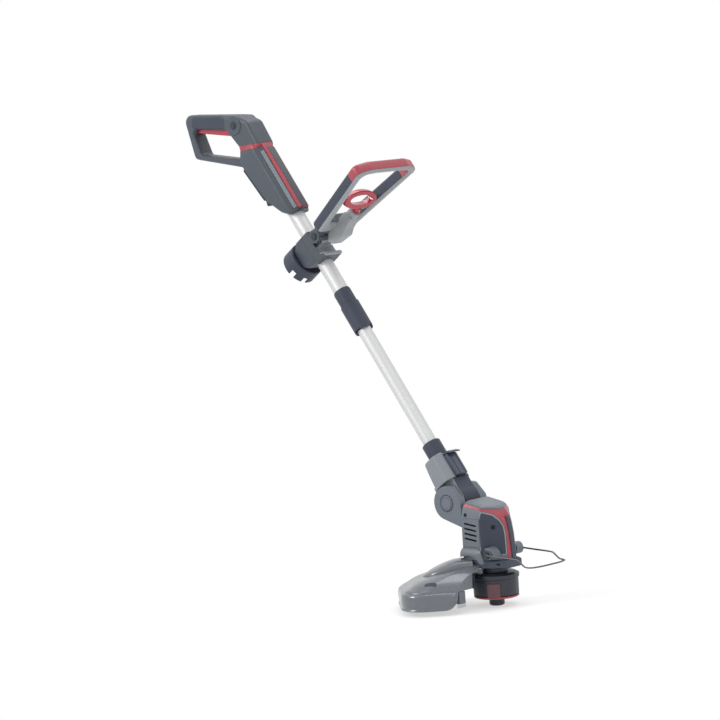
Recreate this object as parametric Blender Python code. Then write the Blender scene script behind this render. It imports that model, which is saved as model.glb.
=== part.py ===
"""Cordless string trimmer, in metres, +Z up.

The spool axis is world Z, the origin is the middle of the bump knob's flat bottom face,
+X points forward and +Y to the operator's left. The shaft leans back from the head.
Pieces on the shaft are modelled in the shaft frame: x across the shaft towards the front,
y to the left, z up along the shaft from the tilt axis. Pieces of the head are modelled
in world axes, and the front handle in a frame of its own on its pivot.
"""

import math

import bmesh
import bpy
from mathutils import Matrix, Vector

# General clearances
GAP = 0.0003          # between touching pieces
RUN = 0.0006          # between pieces that slide or turn past each other

# Shaft line
SHAFT_LEAN = math.radians(36.0)
TILT_X = -0.0700      # tilt axis of the head, world
TILT_Z = 0.1765
SHAFT_AHEAD = 0.0070  # shaft centreline in front of the tilt axis

# Tubes
LOWER_TUBE_R = 0.0125
UPPER_TUBE_R = 0.0140
TUBE_WALL = 0.0012
LOWER_TUBE_BOTTOM = 0.062
LOWER_TUBE_TOP = 0.452
TELESCOPE_TRAVEL = 0.200
UPPER_TUBE_BOTTOM = 0.372
UPPER_TUBE_TOP = 0.658

# Telescopic lock
NUT_R = 0.0176
NUT_BOTTOM = 0.3540
NUT_TOP = 0.4110
COLLAR_R = 0.0155
COLLAR_TOP = 0.4400
COLLET_R = 0.0150
COLLET_BOTTOM = 0.3560

# Swivel section at the foot of the shaft
SOCKET_R = 0.0170
SOCKET_BOTTOM = 0.0850
SOCKET_TOP = 0.1145
SPIGOT_R = 0.0160
SPIGOT_BOTTOM = 0.0500
SWIVEL_BOTTOM = 0.0330
SWIVEL_TOP = 0.0842
SWIVEL_REAR = -0.0285
SWIVEL_FRONT = 0.0225
SWIVEL_HALF_WIDTH = 0.0300
COVER_FRONT = 0.0300
COVER_HALF_WIDTH = 0.0130
TAB_FRONT = 0.0395
TAB_BOTTOM = 0.0765
TAB_THICK = 0.0032
TAB_TRAVEL = 0.0040

# Tilt joint
EAR_R = 0.0295
EAR_INNER = 0.0198
EAR_OUTER = 0.0360
TONGUE_R = 0.0280
TONGUE_HALF_WIDTH = 0.0192
BOLT_R = 0.0040
BUTTON_R = 0.0135
BUTTON_PROUD = 0.0015
BUTTON_TRAVEL = 0.0030

# Head housing, world
HEAD_REAR = -0.0370
HEAD_HALF_WIDTH = 0.0400
HEAD_NOSE_HALF_WIDTH = 0.0075
HEAD_SHOULDER = 0.0060    # where the sides start to taper to the nose
HEAD_TOP_SLOPE = 0.19     # fall of the housing's top towards the nose
HEAD_WALL = 0.0024
BASE_BOTTOM = 0.0685
BASE_TOP = 0.0825
HOUSING_TOP = 0.1700
DECK_THICK = 0.0040
FLARE_OUT = 0.0055        # how far the moulding over the guard stands out
MOTOR_R = 0.0185
MOTOR_TOP = 0.1460
SPINDLE_R = 0.0040

# Spool and bump knob, world
KNOB_R = 0.01325
KNOB_TRAVEL = 0.0040
KNOB_FLANGE_R = 0.0158
KNOB_TOP = 0.0232
CAP_R = 0.0390
CAP_BOTTOM = 0.0150
CAP_TOP = 0.0480
CARRIER_PROUD = 0.0018
CARRIER_TOP = 0.0580
REEL_HUB_R = 0.0180
REEL_CLEAR = 0.0023    # between the reel's rims and the cap
REEL_RIM_TOP = 0.0185
CAP_WALL = 0.0022
WINDOW_HALF_WIDTH = 0.0115
WINDOW_ANGLE = math.radians(-55.0)

# Guard; its middle line runs from the spindle to the rear right
GUARD_TURN = math.radians(47.0)   # from -X towards -Y
GUARD_REACH = 0.1665      # spindle to the middle of the rim
GUARD_HALF_WIDTH = 0.0755
GUARD_CORNER = 0.0480
GUARD_SIDE_START = 0.0780
GUARD_BOTTOM = 0.0090
GUARD_RIM_TOP = 0.0325    # top of the upright skirt
GUARD_WALL = 0.0022
GUARD_INNER_R = 0.0300
GUARD_END_ROUND = 0.0165
GUARD_END_WALL = 0.0385   # lower edge of the wall that closes each end
WELL_R = 0.0585           # dark wall round the spool
WELL_WALL = 0.0020
WELL_BOTTOM = 0.0375
WELL_TOP = 0.0640
DOME = [
    # share of the way from the spindle to the rim, height
    (0.18, 0.0790), (0.36, 0.0735), (0.50, 0.0683), (0.60, 0.0645), (0.70, 0.0595),
    (0.775, 0.0556), (0.85, 0.0500), (0.90, 0.0447),
]

# Plant guard wire, world
WIRE_R = 0.0015
WIRE_PIVOT_X = 0.0210
WIRE_PIVOT_Z = 0.0935
WIRE_HALF_WIDTH = 0.0455
WIRE_BOSS_R = 0.0090
WIRE_BOSS_OUT = 0.0428

# Rear handle and battery housing, shaft frame
BODY_BOTTOM = 0.6070
BODY_FRONT = 0.0215
BODY_HALF_WIDTH = 0.0265
LOOP_HALF_WIDTH = 0.0165
HUMP_HALF_WIDTH = 0.0215
STRIP_HALF_WIDTH = 0.0125
STRIP_THICK = 0.0025
SPINE_HALF_WIDTH = 0.0085
SPINE_THICK = 0.0042
BATTERY_BOTTOM = 0.6635
BATTERY_TOP = 0.7385
BATTERY_FRONT = -0.0010
BATTERY_HALF_WIDTH = 0.0212
LOCK_OFF_X = -0.0040
LOCK_OFF_ABOVE = 0.0745   # above the battery bay
LOCK_OFF_Z = BATTERY_TOP + LOCK_OFF_ABOVE
LOCK_OFF_R = 0.0062
LOCK_OFF_TRAVEL = 0.0030
TRIGGER_HALF_WIDTH = 0.0070
TRIGGER_PIN_R = 0.0015
TRIGGER_U = 0.0100    # trigger pin from the corner of the grip, forward
TRIGGER_V = 0.0065    # and up

SWITCH_REAR = -0.0120
SWITCH_FRONT = 0.0120
SWITCH_HALF_WIDTH = 0.0085
SWITCH_BELOW = 0.0100     # under the lock-off button's axis
SWITCH_LENGTH = 0.0250
LATCH_PIVOT_X = -0.0320
LATCH_PIVOT_Z = BATTERY_TOP - 0.0235
LATCH_KNUCKLE_R = 0.0032

# Front handle
PIVOT_X = 0.0300      # pivot of the front handle, shaft frame
PIVOT_Z = 0.5400
CLAMP_BOTTOM = 0.5000
CLAMP_TOP = 0.5600
CLAMP_R = 0.0205
LUG_HALF_WIDTH = 0.0215
LUG_PIVOT_HALF = 0.0150   # the lug between the handle's cheeks
CHEEK_INNER = LUG_PIVOT_HALF + 0.0007
CHEEK_OUTER = 0.0255
CHEEK_R = 0.0121
PIVOT_BOLT_R = 0.0030
LOOP_MID = 0.0010     # mid-height of the loop in the handle frame
LOOP_HALF_THICK = 0.0115
LOOP_END = 0.2075
SEAM_Z = LOOP_MID - LOOP_HALF_THICK + 0.0035
CAP_START = 0.1740
GRIP_START = 0.0240
BASE_END = 0.0620
BASE_HALF_START = 0.0290
BASE_HALF_END = 0.0385
STUB_R = 0.0105
STUB_Z = -0.0131
STUB_END = 0.0904
RING_X = 0.1117
RING_Z = -0.0033
RING_HALF_WIDTH = 0.0400
RING_HALF_DEPTH = 0.0180
RING_THICK = 0.0120
RING_TILT = math.radians(31.0)
RING_TRAVEL = 0.0040
SHANK_R = 0.0060

# Spare spool holder, shaft frame
HOLDER_R = 0.0330
HOLDER_WALL = 0.0020
HOLDER_FRONT = -0.0300
HOLDER_DEPTH = 0.0280
HOLDER_RECESS = 0.0030
HOLDER_Z = 0.5330

MATERIALS = {
    "slate": ((0.085, 0.100, 0.115, 1), 0.55, 0.0),
    "navy_soft": ((0.040, 0.048, 0.062, 1), 0.80, 0.0),
    "light_grey": ((0.330, 0.350, 0.365, 1), 0.50, 0.0),
    "black": ((0.020, 0.022, 0.026, 1), 0.60, 0.0),
    "red": ((0.420, 0.045, 0.060, 1), 0.40, 0.0),
    "aluminium": ((0.800, 0.810, 0.820, 1), 0.30, 1.0),
    "guard_grey": ((0.300, 0.320, 0.330, 1), 0.35, 0.3),
    "steel": ((0.550, 0.550, 0.560, 1), 0.35, 1.0),
    "copper": ((0.700, 0.400, 0.250, 1), 0.40, 1.0),
    "line": ((0.750, 0.300, 0.100, 1), 0.40, 0.0),
}


# Scene set-up

def clear_scene():
    for old in list(bpy.data.objects):
        bpy.data.objects.remove(old, do_unlink=True)


def material(name):
    found = bpy.data.materials.get(name)
    if found:
        return found
    colour, roughness, metallic = MATERIALS[name]
    made = bpy.data.materials.new(name)
    made.use_nodes = True
    shader = made.node_tree.nodes["Principled BSDF"]
    shader.inputs["Base Color"].default_value = colour
    shader.inputs["Roughness"].default_value = roughness
    shader.inputs["Metallic"].default_value = metallic
    return made


SHAFT_ORIGIN = Vector((
    TILT_X + SHAFT_AHEAD * math.cos(SHAFT_LEAN),
    0,
    TILT_Z + SHAFT_AHEAD * math.sin(SHAFT_LEAN),
))
SHAFT = Matrix.Translation(SHAFT_ORIGIN) @ Matrix.Rotation(-SHAFT_LEAN, 4, "Y")
HEAD = Matrix.Identity(4)
HANDLE = SHAFT @ Matrix.Translation((PIVOT_X, 0, PIVOT_Z))
EMPTIES = {}


def add_body(name, frame, origin):
    """An empty on the joint axis of one moving body; its pieces hang from it."""
    empty = bpy.data.objects.new("body_" + name, None)
    empty.empty_display_size = 0.02
    bpy.context.collection.objects.link(empty)
    empty.matrix_world = frame @ Matrix.Translation(origin)
    EMPTIES[name] = (empty, frame, Vector(origin))


def add_piece(name, bm, body, paint, own_material=None):
    """Turn a mesh in its body's frame into an object under the body's empty."""
    empty, _, origin = EMPTIES[body]
    bmesh.ops.translate(bm, verts=bm.verts, vec=-origin)
    mesh = bpy.data.meshes.new(name)
    bm.to_mesh(mesh)
    bm.free()
    mesh.shade_smooth()
    mesh.set_sharp_from_angle(angle=math.radians(32))
    mesh.materials.append(material(paint))
    piece = bpy.data.objects.new(name, mesh)
    bpy.context.collection.objects.link(piece)
    piece.parent = empty
    return piece


# Outlines

def arc(cx, cy, radius, start, end, steps):
    """Points on an arc, angles in degrees."""
    points = []
    for i in range(steps + 1):
        a = math.radians(start + (end - start) * i / steps)
        points.append((cx + radius * math.cos(a), cy + radius * math.sin(a)))
    return points


def ellipse(cx, cy, a, b, steps):
    return [
        (cx + a * math.cos(2 * math.pi * i / steps), cy + b * math.sin(2 * math.pi * i / steps))
        for i in range(steps)
    ]


def rounded(corners, steps=4):
    """A closed outline from corners (u, v, radius), each corner an arc tangent to its sides."""
    points = []
    count = len(corners)
    for i, (u, v, radius) in enumerate(corners):
        here = Vector((u, v))
        before = Vector(corners[i - 1][:2]) - here
        after = Vector(corners[(i + 1) % count][:2]) - here
        if radius <= 0:
            points.append((u, v))
            continue
        turn = before.angle(after)
        reach = radius / math.tan(turn / 2)
        reach = min(reach, before.length * 0.49, after.length * 0.49)
        radius = reach * math.tan(turn / 2)
        start = here + before.normalized() * reach
        end = here + after.normalized() * reach
        middle = before.normalized() + after.normalized()
        centre = here + middle.normalized() * math.hypot(reach, radius)
        a = math.atan2(start.y - centre.y, start.x - centre.x)
        b = math.atan2(end.y - centre.y, end.x - centre.x)
        sweep = (b - a + math.pi) % (2 * math.pi) - math.pi
        for k in range(steps + 1):
            angle = a + sweep * k / steps
            points.append((centre.x + radius * math.cos(angle), centre.y + radius * math.sin(angle)))
    return points


def offset(points, distance):
    """The outline moved outwards by distance, or inwards where it is negative."""
    count = len(points)
    area = sum(
        points[i][0] * points[(i + 1) % count][1] - points[(i + 1) % count][0] * points[i][1]
        for i in range(count)
    )
    side = 1 if area > 0 else -1
    moved = []
    for i in range(count):
        before = Vector(points[i]) - Vector(points[i - 1])
        after = Vector(points[(i + 1) % count]) - Vector(points[i])
        n1 = Vector((before.y, -before.x)).normalized() * side
        n2 = Vector((after.y, -after.x)).normalized() * side
        normal = n1 + n2
        normal *= 1 / max(normal.length_squared / 2, 0.3)
        moved.append((points[i][0] + normal.x * distance, points[i][1] + normal.y * distance))
    return moved


# Solids, each returned as a bmesh

AXES = {
    "X": lambda u, v, w: (w, u, v),
    "Y": lambda u, v, w: (u, w, v),
    "Z": lambda u, v, w: (u, v, w),
}


def loft(rings):
    """A closed solid through rings of equal point counts, capped at both ends."""
    bm = bmesh.new()
    made = [[bm.verts.new(p) for p in ring] for ring in rings]
    count = len(made[0])
    for low, high in zip(made, made[1:]):
        for i in range(count):
            j = (i + 1) % count
            bm.faces.new((low[i], low[j], high[j], high[i]))
    bm.faces.new(made[0][::-1])
    bm.faces.new(made[-1])
    bmesh.ops.recalc_face_normals(bm, faces=bm.faces)
    return bm


def prism(outline, low, high, axis="Y", edge=0.0, steps=3):
    """An extruded outline; edge rounds its two rims by that radius."""
    place = AXES[axis]
    levels = []
    if edge <= 0:
        levels = [(low, 0.0), (high, 0.0)]
    else:
        for i in range(steps + 1):
            a = math.pi / 2 * i / steps
            levels.append((low + edge * (1 - math.cos(a)), -edge * (1 - math.sin(a))))
        levels += [(low + high - w, d) for w, d in reversed(levels)]
    rings = []
    for w, inset in levels:
        shape = offset(outline, inset) if inset else outline
        rings.append([place(u, v, w) for u, v in shape])
    return loft(rings)


def lathe(profile, steps=32, centre=(0, 0), start=0.0, sweep=2 * math.pi):
    """A closed profile of (r, z) turned about Z; points on the axis have r = 0."""
    full = sweep >= 2 * math.pi - 1e-6
    bm = bmesh.new()
    columns = []
    for i in range(steps if full else steps + 1):
        a = start + sweep * i / steps
        column = []
        for j, (r, z) in enumerate(profile):
            if r == 0 and columns:
                column.append(columns[0][j])
            else:
                column.append(bm.verts.new((centre[0] + r * math.cos(a), centre[1] + r * math.sin(a), z)))
        columns.append(column)
    pairs = list(zip(columns, columns[1:] + columns[:1])) if full else list(zip(columns, columns[1:]))
    count = len(profile)
    for left, right in pairs:
        for j in range(count):
            k = (j + 1) % count
            corner = []
            for vert in (left[j], right[j], right[k], left[k]):
                if vert not in corner:
                    corner.append(vert)
            if len(corner) > 2:
                bm.faces.new(corner)
    if not full:
        bm.faces.new(columns[0])
        bm.faces.new(columns[-1][::-1])
    bmesh.ops.recalc_face_normals(bm, faces=bm.faces)
    return bm


def rod(radius, low, high, axis="Z", at=(0, 0), steps=24, chamfer=0.0):
    """A round bar along an axis; at gives its place on the other two."""
    place = AXES[axis]
    rings = []
    levels = [(low, radius), (high, radius)]
    if chamfer > 0:
        levels = [
            (low, radius - chamfer), (low + chamfer, radius),
            (high - chamfer, radius), (high, radius - chamfer),
        ]
    for w, r in levels:
        rings.append([place(u, v, w) for u, v in ellipse(at[0], at[1], r, r, steps)])
    return loft(rings)


def pipe(outer, inner, low, high, steps=32):
    return lathe([(inner, low), (outer, low), (outer, high), (inner, high)], steps)


def box(x0, x1, y0, y1, z0, z1, bevel=0.0, segments=1):
    bm = bmesh.new()
    bmesh.ops.create_cube(bm, size=1.0)
    for v in bm.verts:
        v.co.x = x0 if v.co.x < 0 else x1
        v.co.y = y0 if v.co.y < 0 else y1
        v.co.z = z0 if v.co.z < 0 else z1
    bmesh.ops.recalc_face_normals(bm, faces=bm.faces)
    if bevel > 0:
        bmesh.ops.bevel(
            bm, geom=list(bm.edges), offset=bevel, segments=segments, profile=0.5, affect="EDGES"
        )
    return bm


def sweep(points, radius, sides=8):
    """A round wire along a list of points."""
    path = [Vector(p) for p in points]
    normal = None
    rings = []
    for i, here in enumerate(path):
        ahead = path[min(i + 1, len(path) - 1)] - path[max(i - 1, 0)]
        ahead.normalize()
        if normal is None:
            normal = ahead.orthogonal().normalized()
        normal = (normal - ahead * normal.dot(ahead)).normalized()
        across = ahead.cross(normal)
        ring = []
        for k in range(sides):
            a = 2 * math.pi * k / sides
            ring.append(here + (normal * math.cos(a) + across * math.sin(a)) * radius)
        rings.append(ring)
    return loft(rings)


def helix(radius, low, high, turns, wire, axis_at=(0, 0, 0), steps=8, sides=5):
    """A coil spring about Z through axis_at."""
    count = int(turns * steps)
    points = []
    for i in range(count + 1):
        a = 2 * math.pi * i / steps
        z = low + wire + (high - low - 2 * wire) * i / count
        points.append((axis_at[0] + radius * math.cos(a), axis_at[1] + radius * math.sin(a), z))
    return sweep(points, wire, sides)


def smooth_path(points, per_span=6):
    """Points on a smooth curve through the given ones."""
    path = [Vector(p) for p in points]
    ends = [path[0] * 2 - path[1]] + path + [path[-1] * 2 - path[-2]]
    result = []
    for i in range(1, len(ends) - 2):
        p0, p1, p2, p3 = ends[i - 1:i + 3]
        for k in range(per_span):
            t = k / per_span
            result.append(
                0.5 * (2 * p1 + (p2 - p0) * t + (2 * p0 - 5 * p1 + 4 * p2 - p3) * t ** 2
                       + (3 * p1 - p0 - 3 * p2 + p3) * t ** 3)
            )
    result.append(path[-1])
    return result


def moved(bm, matrix):
    bmesh.ops.transform(bm, matrix=matrix, verts=bm.verts)
    return bm


def mirrored(bm):
    """The same solid on the other side of the y = 0 plane."""
    bmesh.ops.scale(bm, vec=(1, -1, 1), verts=bm.verts)
    bmesh.ops.reverse_faces(bm, faces=bm.faces)
    return bm


def combine(base, *steps):
    """Boolean steps on a solid: each is (operation, solid), done in order."""
    for operation, other in steps:
        base = boolean(base, operation, other)
    return base


def boolean(base, operation, other):
    target = temporary(base)
    helper = temporary(other)
    modifier = target.modifiers.new(operation, "BOOLEAN")
    modifier.operation = operation
    modifier.object = helper
    modifier.solver = "EXACT"
    bpy.context.view_layer.update()
    graph = bpy.context.evaluated_depsgraph_get()
    mesh = bpy.data.meshes.new_from_object(target.evaluated_get(graph))
    result = bmesh.new()
    result.from_mesh(mesh)
    bpy.data.meshes.remove(mesh)
    for used in (helper, target):
        used_mesh = used.data
        bpy.data.objects.remove(used, do_unlink=True)
        bpy.data.meshes.remove(used_mesh)
    bmesh.ops.remove_doubles(result, verts=result.verts, dist=1e-6)
    bmesh.ops.dissolve_limit(
        result, angle_limit=math.radians(0.05), verts=list(result.verts), edges=list(result.edges),
    )
    return result


def temporary(bm):
    """A working object from a solid; faces are split so that none is bent."""
    bmesh.ops.triangulate(bm, faces=list(bm.faces))
    mesh = bpy.data.meshes.new("work")
    bm.to_mesh(mesh)
    bm.free()
    made = bpy.data.objects.new("work", mesh)
    bpy.context.collection.objects.link(made)
    return made


CUT = "DIFFERENCE"
JOIN = "UNION"
KEEP = "INTERSECT"


# Rear handle and battery housing

GRIP_CORNER = (-0.1000, 0.8765)   # where the underside of the grip meets the rear bar

LOOP_OUTLINE = [
    (0.0100, 0.8263, 0.012), (-0.1035, 0.9130, 0.014), (-0.1310, 0.8320, 0.012),
    (-0.0400, 0.7440, 0.010), (-0.0050, 0.7440, 0.010), (0.0050, 0.8000, 0.010),
]
OPENING_OUTLINE = [
    (-0.1000, 0.8765, 0.007), (-0.1105, 0.8270, 0.009), (-0.0345, 0.7590, 0.007),
    (-0.0215, 0.7740, 0.012), (-0.0290, 0.8205, 0.012),
]
HUMP_OUTLINE = [
    (0.0240, 0.7450, 0.010), (0.0272, 0.7990, 0.016), (0.0100, 0.8258, 0.018),
    (-0.0260, 0.8530, 0.012), (-0.0360, 0.8270, 0.010), (-0.0350, 0.7600, 0.010),
    (-0.0290, 0.7450, 0.010),
]
BODY_STATIONS = [
    # height along the shaft, rear face, half width
    (0.6070, 0.0020, 0.0215), (0.6095, -0.0020, 0.0235), (0.6235, -0.0138, 0.0255),
    (0.6570, -0.0285, 0.0265), (0.7000, -0.0340, 0.0265), (0.7400, -0.0385, 0.0262),
    (0.7560, -0.0370, 0.0250), (0.7640, -0.0300, 0.0225),
]
BAND_SLOPE = math.radians(-30.0)
BAND_CENTRE = (0.0, 0.7610)
BAND_HALF = 0.0042
CORE_HALF_WIDTH = 0.0185
CORE_REAR = -0.0170
CORE_FRONT = 0.0185


def grip_point(u, v):
    """Shaft-frame point from forward u and up v, both level in the world, at the grip's corner."""
    c = math.cos(SHAFT_LEAN)
    s = math.sin(SHAFT_LEAN)
    return (GRIP_CORNER[0] + u * c + v * s, GRIP_CORNER[1] - u * s + v * c)


def body_ring(z, rear, half):
    """Cross-section of the battery housing: flat sides, chamfered front, rounded rear."""
    front = BODY_FRONT
    corners = [
        (front, -STRIP_HALF_WIDTH, 0.002), (front, STRIP_HALF_WIDTH, 0.002),
        (front - 0.0110, half, 0.004), (rear + 0.006, half, 0.006),
        (rear, half * 0.55, 0.006), (rear, -half * 0.55, 0.006),
        (rear + 0.006, -half, 0.006), (front - 0.0110, -half, 0.004),
    ]
    return [(x, y, z) for x, y in rounded(corners, 2)]


def band_zone(grow):
    """Slanted slice through the housing in which the red band lies."""
    zone = box(-0.06, 0.06, -0.05, 0.05, -BAND_HALF - grow, BAND_HALF + grow)
    turn = Matrix.Rotation(-BAND_SLOPE, 4, "Y")
    return moved(zone, Matrix.Translation((BAND_CENTRE[0], 0, BAND_CENTRE[1])) @ turn)


def housing_outer():
    rings = [body_ring(*station) for station in BODY_STATIONS]
    loop = prism(rounded(LOOP_OUTLINE, 5), -LOOP_HALF_WIDTH, LOOP_HALF_WIDTH, "Y", 0.0065)
    hump = prism(rounded(HUMP_OUTLINE, 5), -HUMP_HALF_WIDTH, HUMP_HALF_WIDTH, "Y", 0.0080)
    boss = rod(0.0180, -0.0232, 0.0232, "Y", (LOCK_OFF_X, LOCK_OFF_Z), 32, 0.0012)
    return combine(loft(rings), (JOIN, loop), (JOIN, hump), (JOIN, boss), (CUT, opening_cutter()))


def opening_cutter():
    """The handle's opening, flared at both faces so that its rim is rounded."""
    outline = rounded(OPENING_OUTLINE, 5)
    reach = 0.040
    levels = [
        (-reach, 0.004), (-LOOP_HALF_WIDTH, 0.004), (-LOOP_HALF_WIDTH + 0.0018, 0.0016),
        (-LOOP_HALF_WIDTH + 0.0055, 0.0),
    ]
    levels += [(-w, d) for w, d in reversed(levels)]
    rings = []
    for w, d in levels:
        shape = offset(outline, d) if d else outline
        rings.append([(u, w, v) for u, v in shape])
    return loft(rings)


def band_core(grow):
    return box(
        CORE_REAR - grow, CORE_FRONT + grow, -CORE_HALF_WIDTH - grow, CORE_HALF_WIDTH + grow,
        0.730, 0.792,
    )


def trigger_slot():
    corners = [(0.0, -0.020), (0.104, -0.020), (0.104, 0.0135), (0.0, 0.0135)]
    outline = [grip_point(u, v) for u, v in corners]
    half = TRIGGER_HALF_WIDTH + RUN
    return prism(outline, -half, half, "Y")


def grip_zone(grow, depth):
    """Where the soft pads of the rear grip lie, on both sides."""
    corners = [
        (0.0015 - grow, 0.0025 - grow, 0.004), (0.0905 + grow, -0.0002 - grow, 0.004),
        (0.0905 + grow, 0.0212 + grow, 0.006), (0.0015 - grow, 0.0235 + grow, 0.006),
    ]
    outline = [grip_point(u, v) for u, v in rounded(corners, 3)]
    return prism(outline, -0.05, -LOOP_HALF_WIDTH + depth, "Y")


def tube_bore(low, high, grow=GAP):
    return rod(UPPER_TUBE_R + grow, low, high, "Z", (0, 0), 32)


def make_rear_housing():
    outer = housing_outer()
    band_source = outer.copy()
    pad_source = outer.copy()
    groove = combine(band_zone(GAP), (CUT, band_core(0.0)))
    shell = combine(outer, (CUT, groove))
    battery_bay = box(
        -0.060, BATTERY_FRONT + 0.0080, -BATTERY_HALF_WIDTH - GAP, BATTERY_HALF_WIDTH + GAP,
        BATTERY_BOTTOM - GAP, BATTERY_TOP + GAP,
    )
    front_channel = box(
        BODY_FRONT - 0.0005, 0.050, -STRIP_HALF_WIDTH - GAP, STRIP_HALF_WIDTH + GAP, 0.600, 0.7470
    )
    switch_room = box(
        SWITCH_REAR - GAP, SWITCH_FRONT + GAP, -SWITCH_HALF_WIDTH - GAP, SWITCH_HALF_WIDTH + GAP,
        LOCK_OFF_Z - SWITCH_BELOW - SWITCH_LENGTH - GAP, LOCK_OFF_Z - SWITCH_BELOW + GAP,
    )
    pin_hole = rod(TRIGGER_PIN_R + GAP, -0.0115, 0.0115, "Y", grip_point(TRIGGER_U, TRIGGER_V), 16)
    lock_hole = rod(LOCK_OFF_R + RUN / 2, -0.05, 0.05, "Y", (LOCK_OFF_X, LOCK_OFF_Z), 24)
    shell = combine(
        shell, (CUT, battery_bay), (CUT, front_channel), (CUT, switch_room), (CUT, trigger_slot()),
        (CUT, pin_hole), (CUT, lock_hole), (CUT, tube_bore(0.590, UPPER_TUBE_TOP + GAP)),
        (CUT, grip_zone(GAP, 0.0016 + GAP)), (CUT, mirrored(grip_zone(GAP, 0.0016 + GAP))),
    )
    other = shell.copy()
    right = combine(shell, (KEEP, box(-0.3, 0.3, -0.1, -GAP / 2, 0.5, 1.0)))
    left = combine(other, (KEEP, box(-0.3, 0.3, GAP / 2, 0.1, 0.5, 1.0)))
    add_piece("rear_housing_right", right, "rear_unit", "slate")
    add_piece("rear_housing_left", left, "rear_unit", "slate")

    strip = box(
        BODY_FRONT - 0.0005 + GAP, BODY_FRONT + STRIP_THICK, -STRIP_HALF_WIDTH, STRIP_HALF_WIDTH,
        BODY_BOTTOM + 0.001, 0.7600, 0.0008,
    )
    band = combine(
        band_source, (KEEP, band_zone(0.0)), (JOIN, strip), (CUT, band_core(GAP)),
        (CUT, hump_above_band()),
    )
    add_piece("accent_band", band, "rear_unit", "red")

    spine = box(
        BODY_FRONT + STRIP_THICK + GAP, BODY_FRONT + STRIP_THICK + SPINE_THICK,
        -SPINE_HALF_WIDTH, SPINE_HALF_WIDTH, BODY_BOTTOM + 0.0005, 0.7395, 0.0012,
    )
    add_piece("spine_cover", spine, "rear_unit", "red")

    for name, side in (("grip_pad_right", 1), ("grip_pad_left", -1)):
        zone = grip_zone(0.0, 0.0016)
        if side < 0:
            zone = mirrored(zone)
        pad = combine(pad_source.copy(), (KEEP, zone), (CUT, trigger_slot()))
        add_piece(name, pad, "rear_unit", "navy_soft")
    pad_source.free()


def hump_above_band():
    """Keeps the front strip from running past the band."""
    zone = box(-0.06, 0.06, -0.05, 0.05, BAND_HALF, 0.06)
    turn = Matrix.Rotation(-BAND_SLOPE, 4, "Y")
    return moved(zone, Matrix.Translation((BAND_CENTRE[0], 0, BAND_CENTRE[1])) @ turn)


def make_rear_internals():
    switch = box(
        SWITCH_REAR, SWITCH_FRONT, -SWITCH_HALF_WIDTH, SWITCH_HALF_WIDTH,
        LOCK_OFF_Z - SWITCH_BELOW - SWITCH_LENGTH, LOCK_OFF_Z - SWITCH_BELOW, 0.0010,
    )
    add_piece("switch_module", switch, "rear_unit", "black")

    block = box(
        BATTERY_FRONT + GAP, BATTERY_FRONT + 0.0080 - GAP, -0.0180, 0.0180,
        0.6850, 0.7170, 0.0006,
    )
    steps = []
    for i in (-1, 0, 1):
        steps.append((JOIN, box(
            BATTERY_FRONT - 0.0090, BATTERY_FRONT + 0.0020,
            i * 0.0100 - 0.0004, i * 0.0100 + 0.0004, 0.6930, 0.7090,
        )))
    add_piece("battery_terminal_block", combine(block, *steps), "rear_unit", "copper")

    pin = rod(TRIGGER_PIN_R, -0.0112, 0.0112, "Y", grip_point(TRIGGER_U, TRIGGER_V), 16)
    add_piece("trigger_pin", pin, "rear_unit", "steel")

    low = grip_point(0.055, 0.0048)
    length = 0.0135 - 0.0048 - 2 * GAP
    coil = helix(0.0028, 0.0, length, 4, 0.0004)
    spin = Matrix.Rotation(SHAFT_LEAN, 4, "Y")
    coil = moved(coil, Matrix.Translation((low[0], 0, low[1])) @ spin)
    add_piece("trigger_spring", coil, "rear_unit", "steel")


def make_trigger():
    underside = [
        (0.004, -0.0068), (0.030, -0.0090), (0.060, -0.0116), (0.084, -0.0138), (0.092, -0.0140),
        (0.0985, -0.0105),
    ]
    top = [(0.1000, -0.0020), (0.0960, 0.0020), (0.0880, 0.0040), (0.0200, 0.0042)]
    boss = arc(TRIGGER_U, TRIGGER_V, 0.0045, 20, 180, 6)
    outline = [grip_point(u, v) for u, v in underside + top + boss]
    lever = prism(outline, -TRIGGER_HALF_WIDTH, TRIGGER_HALF_WIDTH, "Y", 0.0012, 2)
    hole = rod(TRIGGER_PIN_R + GAP, -0.02, 0.02, "Y", grip_point(TRIGGER_U, TRIGGER_V), 16)
    add_piece("trigger_lever", combine(lever, (CUT, hole)), "trigger", "red")


def make_lock_off():
    reach = 0.0250
    button = rod(LOCK_OFF_R, -reach, reach, "Y", (LOCK_OFF_X, LOCK_OFF_Z), 24, 0.0008)
    neck = combine(
        button,
        (CUT, lathe_about_y(LOCK_OFF_X, LOCK_OFF_Z, 0.0040, LOCK_OFF_R + 0.002, -0.006, 0.006)),
    )
    add_piece("lock_off_button", neck, "lock_off", "black")


def lathe_about_y(x, z, inner, outer, low, high, steps=24):
    """A ring about an axis along Y."""
    ring = pipe(outer, inner, low, high, steps)
    turn = Matrix.Rotation(math.radians(-90), 4, "X")
    return moved(ring, Matrix.Translation((x, 0, z)) @ turn)


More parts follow.
